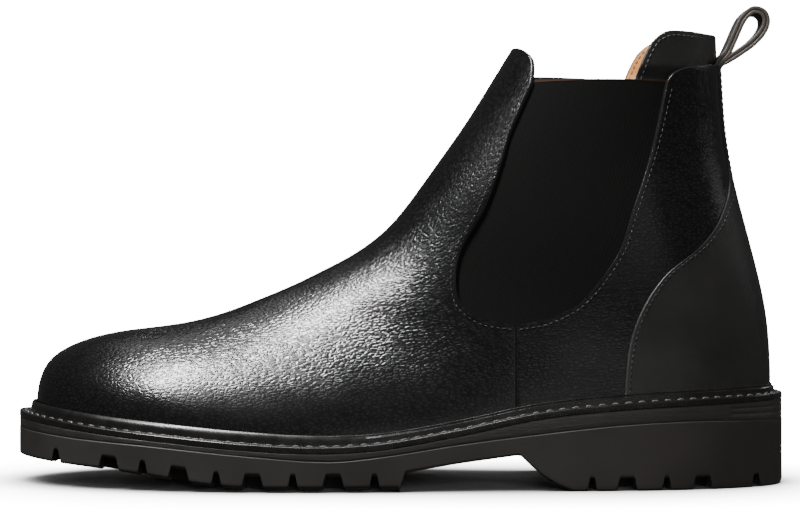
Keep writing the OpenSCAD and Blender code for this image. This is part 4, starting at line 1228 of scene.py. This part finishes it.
# The midsole's edge with two thin lines round it: share of its thickness, and outward
MIDSOLE_EDGE = [
    (1, -.55), (1, -.15), (.9, 0), (.7, 0), (.69, -.05), (.68, 0), (.38, 0), (.37, -.05), (.36, 0),
    (.1, 0), (0, -.15), (0, -.55),
]
SOLE_GAP, MIDSOLE_IN = .05, .1         # gap between the layers, and the midsole's set-back


def welt_profile():
    """Rings of the welt: a leaning lip with a rounded top, a shelf and a bevelled edge."""
    inner = RING * INNER_SCALE
    rings = [on_welt(inner, -WELT_T), on_welt(inner, 0)]
    rings += [on_welt(ring + LIP_GAP * RING_OUT, z) for ring, z in ((RING, 0), (BASE_RING, 1))]
    # Round the forepart the lip stands taller and its top slopes outward
    forepart = 1 - ease((RING[:, 0] - FOREPART_FROM_X) / FOREPART_OVER)
    top = LIP_H * (LIP_LOW + LIP_TALLER * forepart)
    for out, z in arc((LIP_R, -LIP_R), LIP_R, 180, 36, 8):
        rings.append(on_welt(LIP_RING + (LIP_GAP + out) * RING_OUT, top + z))
    for out, z in ((.3, -.62), (.42, -.76)):
        reach = (LIP_GAP + LIP_EDGE + out * forepart)[:, None]
        rings.append(on_welt(LIP_RING + reach * RING_OUT, top + z))
    for share, out, z in LIP_FOOT:
        ring = RING + share * (LIP_RING - RING)
        rings.append(on_welt(ring + (LIP_GAP + out) * RING_OUT, z))
    for out, z in ((-GROOVE_HALF, 0), (0, -GROOVE_DEPTH), (GROOVE_HALF, 0)):
        rings.append(on_welt(SOLE_EDGE + (out - THREAD_INSET) * RING_OUT, z))
    for out, z in arc((-WELT_BEVEL, -WELT_BEVEL), WELT_BEVEL, 90, 0, 6):
        rings.append(on_welt(SOLE_EDGE + out * RING_OUT, z))
    for out, z in ((0, WELT_LOW_BEVEL), (-WELT_LOW_BEVEL, 0)):
        rings.append(on_welt(SOLE_EDGE + out * RING_OUT, z - WELT_T))
    return np.stack(rings, 1)


def make_welt():
    piece = sweep("welt_strip", welt_profile(), WELT)
    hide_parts("welt")
    ride_on_boot(piece)
    line = closed(on_welt(SOLE_EDGE - THREAD_INSET * RING_OUT, -.1))
    up = np.tile([0.0, 0.0, 1.0], (len(line), 1))
    row = stitches("welt_stitches", line, up, THREAD, WELT_PITCH, WELT_SHARE, WELT_STITCH_R, .45)
    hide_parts("welt_thread")
    ride_on_boot(row)


def make_midsole():
    top = height(WELT_TOP, SOLE_EDGE[:, 0]) - WELT_T - SOLE_GAP
    low = height(RUBBER_TOP, SOLE_EDGE[:, 0]) + SOLE_GAP
    inner = SOLE_EDGE * MIDSOLE_INNER_SCALE
    inner_top = height(WELT_TOP, inner[:, 0]) - WELT_T - 2 * SOLE_GAP
    rings = [(inner, height(RUBBER_TOP, inner[:, 0]) + 2 * SOLE_GAP), (inner, inner_top)]
    for share, out in MIDSOLE_EDGE:
        rings.append((SOLE_EDGE + (out - MIDSOLE_IN) * RING_OUT, low + share * (top - low)))
    piece = sweep("midsole_layer", np.stack([np.column_stack(r) for r in rings], 1), MIDSOLE)
    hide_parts("midsole")
    ride_on_boot(piece)


def sole_y(x, side, edge):
    """y of a ring at x on one side."""
    toe, heel = np.argmin(edge[:, 0]), np.argmax(edge[:, 0])
    turn = (heel - toe) % len(edge)
    part = edge[(toe + np.arange(turn + 1)) % len(edge)]
    other = edge[(toe - np.arange(len(edge) - turn + 1)) % len(edge)]
    first_is_lateral = part[:, 1].mean() < other[:, 1].mean()
    chosen = part if (side == LATERAL) == first_is_lateral else other
    keep = np.concatenate([[True], np.diff(np.maximum.accumulate(chosen[:, 0])) > 0])
    return np.interp(x, chosen[keep, 0], chosen[keep, 1])


def ground_z(x):
    """Height of the tread's lowest face at x."""
    rear = np.interp(x, *np.array([[0, 0], *WAIST_AND_HEEL]).T)
    return np.where(x <= 0, np.maximum(height(TREAD, x), 0), rear)


def gap_halves(width):
    """Half the width of a gap between lugs, at the ground and at its top."""
    taper = WIDE_TAPER if width > WIDE_GAP else NARROW_TAPER
    return width / 2 + .1, width * taper / 2


WALL_OVER = 1.5            # how far the walls of the gaps' ends and of the sunk middles slope
POCKET_DEPTH = LUG_DEPTH - 1
# Studs in the sunk middles are crosses: the first one's place, their pitch and their arms
STUD_FROM, STUD_PITCH, STUD_SHIFT = 14, 22, .4
STUD_ARMS, STUD_WALL, STUD_OVER = [(8, 2.5), (2.5, 8)], .5, 1.2
RIM_R = 1.1                # rounding of the rubber's lower edge
CROWN_X, CROWN_RISE, CROWN_OVER = [-152, -95], [.7, 1.8], 14   # the forepart's edges lift a little


def studs(x, y, x0, x1):
    """1 on the studs of one sunk middle and 0 beside them."""
    stud = np.zeros_like(x)
    middle = sum(sole_y((x0 + x1) / 2, side, SOLE_EDGE) for side in (LATERAL, MEDIAL)) / 2
    for k in range(int((x1 - x0 - STUD_FROM) // STUD_PITCH)):
        dx, dy = np.abs(x - (x0 + STUD_FROM + STUD_PITCH * (k + STUD_SHIFT))), np.abs(y - middle)
        for a, b in STUD_ARMS:
            arm = fade(dx - a + STUD_WALL, STUD_OVER) * fade(dy - b + STUD_WALL, STUD_OVER)
            stud = np.maximum(stud, arm)
    return stud


def tread_height(x, y, edge_distance):
    """Height of the outsole's lower face: gaps between lugs, sunk middles and studs."""
    gap, pocket = np.zeros_like(x), np.zeros_like(x)
    for centre, width in LUG_GAPS:
        low, high = gap_halves(width)
        gap = np.maximum(gap, fade(np.abs(x - centre) - high, low - high))
    gap = gap * fade(edge_distance - LUG_REACH + WALL_OVER, WALL_OVER) * LUG_DEPTH
    from_gaps = ease((edge_distance - LUG_REACH - POCKET_WALL) / WALL_OVER)
    for x0, x1 in TREAD_POCKETS:
        inside = ease((x - x0) / WALL_OVER) * ease((x1 - x) / WALL_OVER) * from_gaps
        pocket = np.maximum(pocket, inside * (1 - studs(x, y, x0, x1)) * POCKET_DEPTH)
    rounded = RIM_R * (1 - np.sqrt(1 - (1 - np.clip(edge_distance / RIM_R, 0, 1)) ** 2))
    crown = np.interp(x, CROWN_X, CROWN_RISE) * fade(edge_distance, CROWN_OVER) * (x < 0)
    return ground_z(x) + np.maximum(gap, pocket) + rounded + crown


LINE_PITCH, CLOSEST_LINES, END_ZONE = 1.4, .3, 2


def outsole_lines():
    """x of the lines across the outsole: close at its ends and at every lug's walls."""
    low, high = SOLE_EDGE[:, 0].min(), SOLE_EDGE[:, 0].max()
    ends = low + (high - low) * crowded(140)
    walls = [np.array([0, .6, 1.2, 1.9, 2.5])]      # the step up to the waist
    for centre, width in LUG_GAPS:
        b, a = gap_halves(width)
        offsets = np.array([a, a + (b - a) * .25, (a + b) / 2, a + (b - a) * .75, b])
        walls += [centre - offsets, centre + offsets]
    pockets = [np.arange(x0, x1, LINE_PITCH) for x0, x1 in ((-123, -10), (45, 138))]
    x = np.unique(np.concatenate([ends, *pockets, *walls]))
    wall = np.concatenate(walls)
    keep = [x[0]]
    for value in x[1:-1]:
        on_wall = np.abs(wall - value).min() < 1e-9
        at_end = value < low + END_ZONE or value > high - END_ZONE
        if value - keep[-1] > CLOSEST_LINES or on_wall or at_end:
            keep.append(value)
    return np.array(keep + [x[-1]])


def rim_lines():
    """Distances from the outsole's edge of the lines along it: close over its rounding, at the
    gaps' ends and at the sunk middle's wall."""
    rounding = RIM_R * (1 - np.cos(np.linspace(0, np.pi / 2, 6)))
    gap_ends, pocket_wall = np.linspace(18.4, 20.2, 5), np.linspace(24, 25.5, 4)
    return np.concatenate([rounding, [2.2, 4, 6.5, 9.5, 13, 16.5], gap_ends, pocket_wall])


MIDDLE_LINES = 40          # steps across the outsole's middle
WALL_RISE = np.array([.06, .25, .5, .75, .92])      # shares of the sides' height
LID = np.linspace(0, 1, 9)[1:-1]       # shares across the top
TOP_BEVEL = .35
RUBBER_SHARP = np.radians(32)


def make_outsole():
    x = outsole_lines()
    y0, y1 = sole_y(x, LATERAL, SOLE_EDGE), sole_y(x, MEDIAL, SOLE_EDGE)
    x, y0, y1 = (v[:, None] for v in (x, y0, y1))
    width = y1 - y0
    rim = rim_lines()
    near = rim * np.minimum(1, width / 2 * .96 / rim[-1])
    inner = near[:, -1:] + (width - 2 * near[:, -1:]) * np.arange(1, MIDDLE_LINES) / MIDDLE_LINES
    across = np.concatenate([near, inner, width - near[:, ::-1]], 1)
    gx, gy = np.broadcast_arrays(x, y0 + across)
    bottom = sheet(gx, gy, tread_height(gx, gy, np.minimum(across, width - across)))
    top_z = height(RUBBER_TOP, x) - SOLE_GAP
    bevel_y = np.minimum(TOP_BEVEL, width / 2)

    def wall(y, column, inward):
        """One side, from the tread up to the bevel along its top."""
        low = bottom[:, column, 2:]
        side = sheet(x, y, low + (top_z - low) * WALL_RISE)
        return [side, sheet(x, y, top_z - TOP_BEVEL), sheet(x, y + inward * bevel_y, top_z)]

    top = sheet(x, y1 + (y0 - y1) * LID, top_z)
    far_side = [part[:, ::-1] for part in reversed(wall(y0, 0, 1))]
    loop = np.concatenate([bottom, *wall(y1, -1, -1), top, *far_side], 1)
    piece = loops("outsole_lugs", loop, RUBBER, RUBBER_SHARP)
    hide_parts("outsole")
    ride_on_boot(piece)


SOCK_SCALE, SOCK_RISE, SOCK_T, SOCK_EDGE, SOCK_EDGE_OVER = (.93, .81), 3, 1.2, .5, 1.2


def make_sock():
    """The sock liner, with a soft edge."""
    ring = RING * SOCK_SCALE
    low_x, high_x = ring[:, 0].min(), ring[:, 0].max()
    x = low_x + (high_x - low_x) * crowded(120)
    y0, y1 = (sole_y(x, side, ring)[:, None] for side in (LATERAL, MEDIAL))
    y = y0 + (y1 - y0) * crowded(40)
    base = height(WELT_TOP, x)[:, None] + SOCK_RISE
    top = base + SOCK_T - SOCK_EDGE * fade(np.minimum(y - y0, y1 - y), SOCK_EDGE_OVER)
    loop = np.concatenate([sheet(x[:, None], y, top), sheet(x[:, None], y, base)[:, ::-1]], 1)
    piece = loops("sock_liner_leather", loop, GRIP)
    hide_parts("sock_liner")
    ride_on_boot(piece)


def finish_cad_nodes():
    """The hidden pieces keep their CAD shape and get their own materials."""
    for name, finish in (
        ("toe_puff", BOARD), ("heel_stiffener", BOARD), ("insole_board", INSOLE),
        ("insole_rib", RIB), ("cork_filler", CORK), ("shank", STEEL),
    ):
        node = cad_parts[name]
        node.data.materials.clear()
        node.data.materials.append(finish)


# ---------- stage, light and camera ----------

STAGE_GLOW, SHADE_POWER, SHADE_REACH = 18, 4.5, .075
WALL_R, WALL_HIGH, COVE, STAGE_SIDES = 6000, 5000, 900, 96
CENTRE_R, COVE_STEPS = 150, 13


def pale_stage():
    """White that glows, less so close to the boot, which leaves a soft shadow there."""
    n = Finish("pale_stage", (.1, .1, .1), .9, 0.0)
    n.constant("Emission Color", (1, 1, 1, 1))
    near = n.add("ShaderNodeAmbientOcclusion", {"Distance": SHADE_REACH}, samples=16).outputs["AO"]
    n.link(n.math("MULTIPLY", n.math("POWER", near, SHADE_POWER), STAGE_GLOW), "Emission Strength")
    return n.made


def make_stage():
    """A pale round floor that sweeps up into a pale wall. It isn't mirrored in the leather."""
    angle = np.linspace(0, np.pi / 2, COVE_STEPS)
    outline = [[CENTRE_R, 0]]
    outline += [[WALL_R - COVE + COVE * np.sin(a), COVE * (1 - np.cos(a))] for a in angle]
    outline += [[WALL_R, WALL_HIGH]]
    turn = np.arange(STAGE_SIDES) * 2 * np.pi / STAGE_SIDES
    points = [[0, 0, 0]]
    points += [[r * np.cos(a), r * np.sin(a), z] for a in turn for r, z in outline]
    m = len(outline)
    faces = []
    for k in range(STAGE_SIDES):
        here, there = 1 + k * m, 1 + (k + 1) % STAGE_SIDES * m
        faces.append([0, here, there])
        faces += [[here + i, here + i + 1, there + i + 1, there + i] for i in range(m - 1)]
    stage = mesh("stage", points, faces, pale_stage())
    stage.visible_glossy = False
    stage.visible_diffuse = False


WORLD_GLOW = .06
MIDDLE, INSTEP = (0, 0, 90), (-40, -30, 80)
# Each light's place, the point it faces, its width and height, its power in watts, and whether
# the leather mirrors it
LIGHTS = {
    "key_box": ((-400, -400, 1050), INSTEP, (110, 760), 44, True),
    "key_glow": ((-420, -420, 1090), INSTEP, (700, 1100), 9, True),
    "front_fill": ((300, -1500, 260), MIDDLE, (900, 700), 42, False),
    "front_sheen": ((500, -1500, 420), MIDDLE, (900, 500), .6, True),
    "overhead_box": ((0, 420, 1300), (0, 0, 100), (1300, 700), 4, True),
    "back_box": ((250, 1100, 900), MIDDLE, (900, 500), 7, True),
    "heel_box": ((1300, 150, 700), (60, 0, 90), (500, 500), 1, True),
    "rear_fill": ((1600, 200, 300), MIDDLE, (900, 700), 30, False),
    "back_fill": ((-300, 1500, 300), MIDDLE, (900, 700), 42, False),
}


def make_lights():
    for name, (place, aim, size, power, mirrored) in LIGHTS.items():
        data = bpy.data.lights.new(name, "AREA")
        data.shape = "RECTANGLE"
        data.size, data.size_y = size[0] * MM, size[1] * MM
        data.energy = power
        lamp = bpy.data.objects.new(name, data)
        lamp.location = Vector(place) * MM
        lamp.rotation_euler = (Vector(aim) - Vector(place)).to_track_quat("-Z", "Y").to_euler()
        lamp.visible_glossy = mirrored
        bpy.context.scene.collection.objects.link(lamp)
    world = bpy.data.worlds.new("studio")
    world.use_nodes = True
    background = world.node_tree.nodes["Background"]
    background.inputs["Color"].default_value = (1, 1, 1, 1)
    background.inputs["Strength"].default_value = WORLD_GLOW
    bpy.context.scene.world = world


EYE_X, EYE_Z, EYE_AWAY = .4, 88.9, 900
SENSOR, LENS = 36, 101.25  # width of the sensor and focal length
CLIP_NEAR, CLIP_FAR = .05, 20          # metres


def make_camera():
    data = bpy.data.cameras.new("camera")
    data.sensor_width = SENSOR
    data.lens = LENS
    data.clip_start, data.clip_end = CLIP_NEAR, CLIP_FAR
    camera = bpy.data.objects.new("camera", data)
    camera.location = Vector((EYE_X, -EYE_AWAY - MIDDLE_Y, EYE_Z)) * MM
    camera.rotation_euler = (np.pi / 2, 0, 0)
    bpy.context.scene.collection.objects.link(camera)
    bpy.context.scene.camera = camera


def both_sides(make, name=""):
    """The outer piece, then the inner one."""
    for side, word in ((LATERAL, "lateral"), (MEDIAL, "medial")):
        make(side, name + word)


make_camera()
make_vamp()
both_sides(make_quarter, "quarter_")
make_counter()
make_heel_tab()
both_sides(make_gore, "gore_")
make_vamp_lining()
both_sides(make_quarter_lining, "quarter_lining_")
make_grip()
both_sides(make_gore_stitches)
both_sides(make_counter_stitches)
both_sides(make_collar_stitches)
make_pull_loop()
make_welt()
make_midsole()
make_outsole()
make_sock()
finish_cad_nodes()
make_stage()
make_lights()
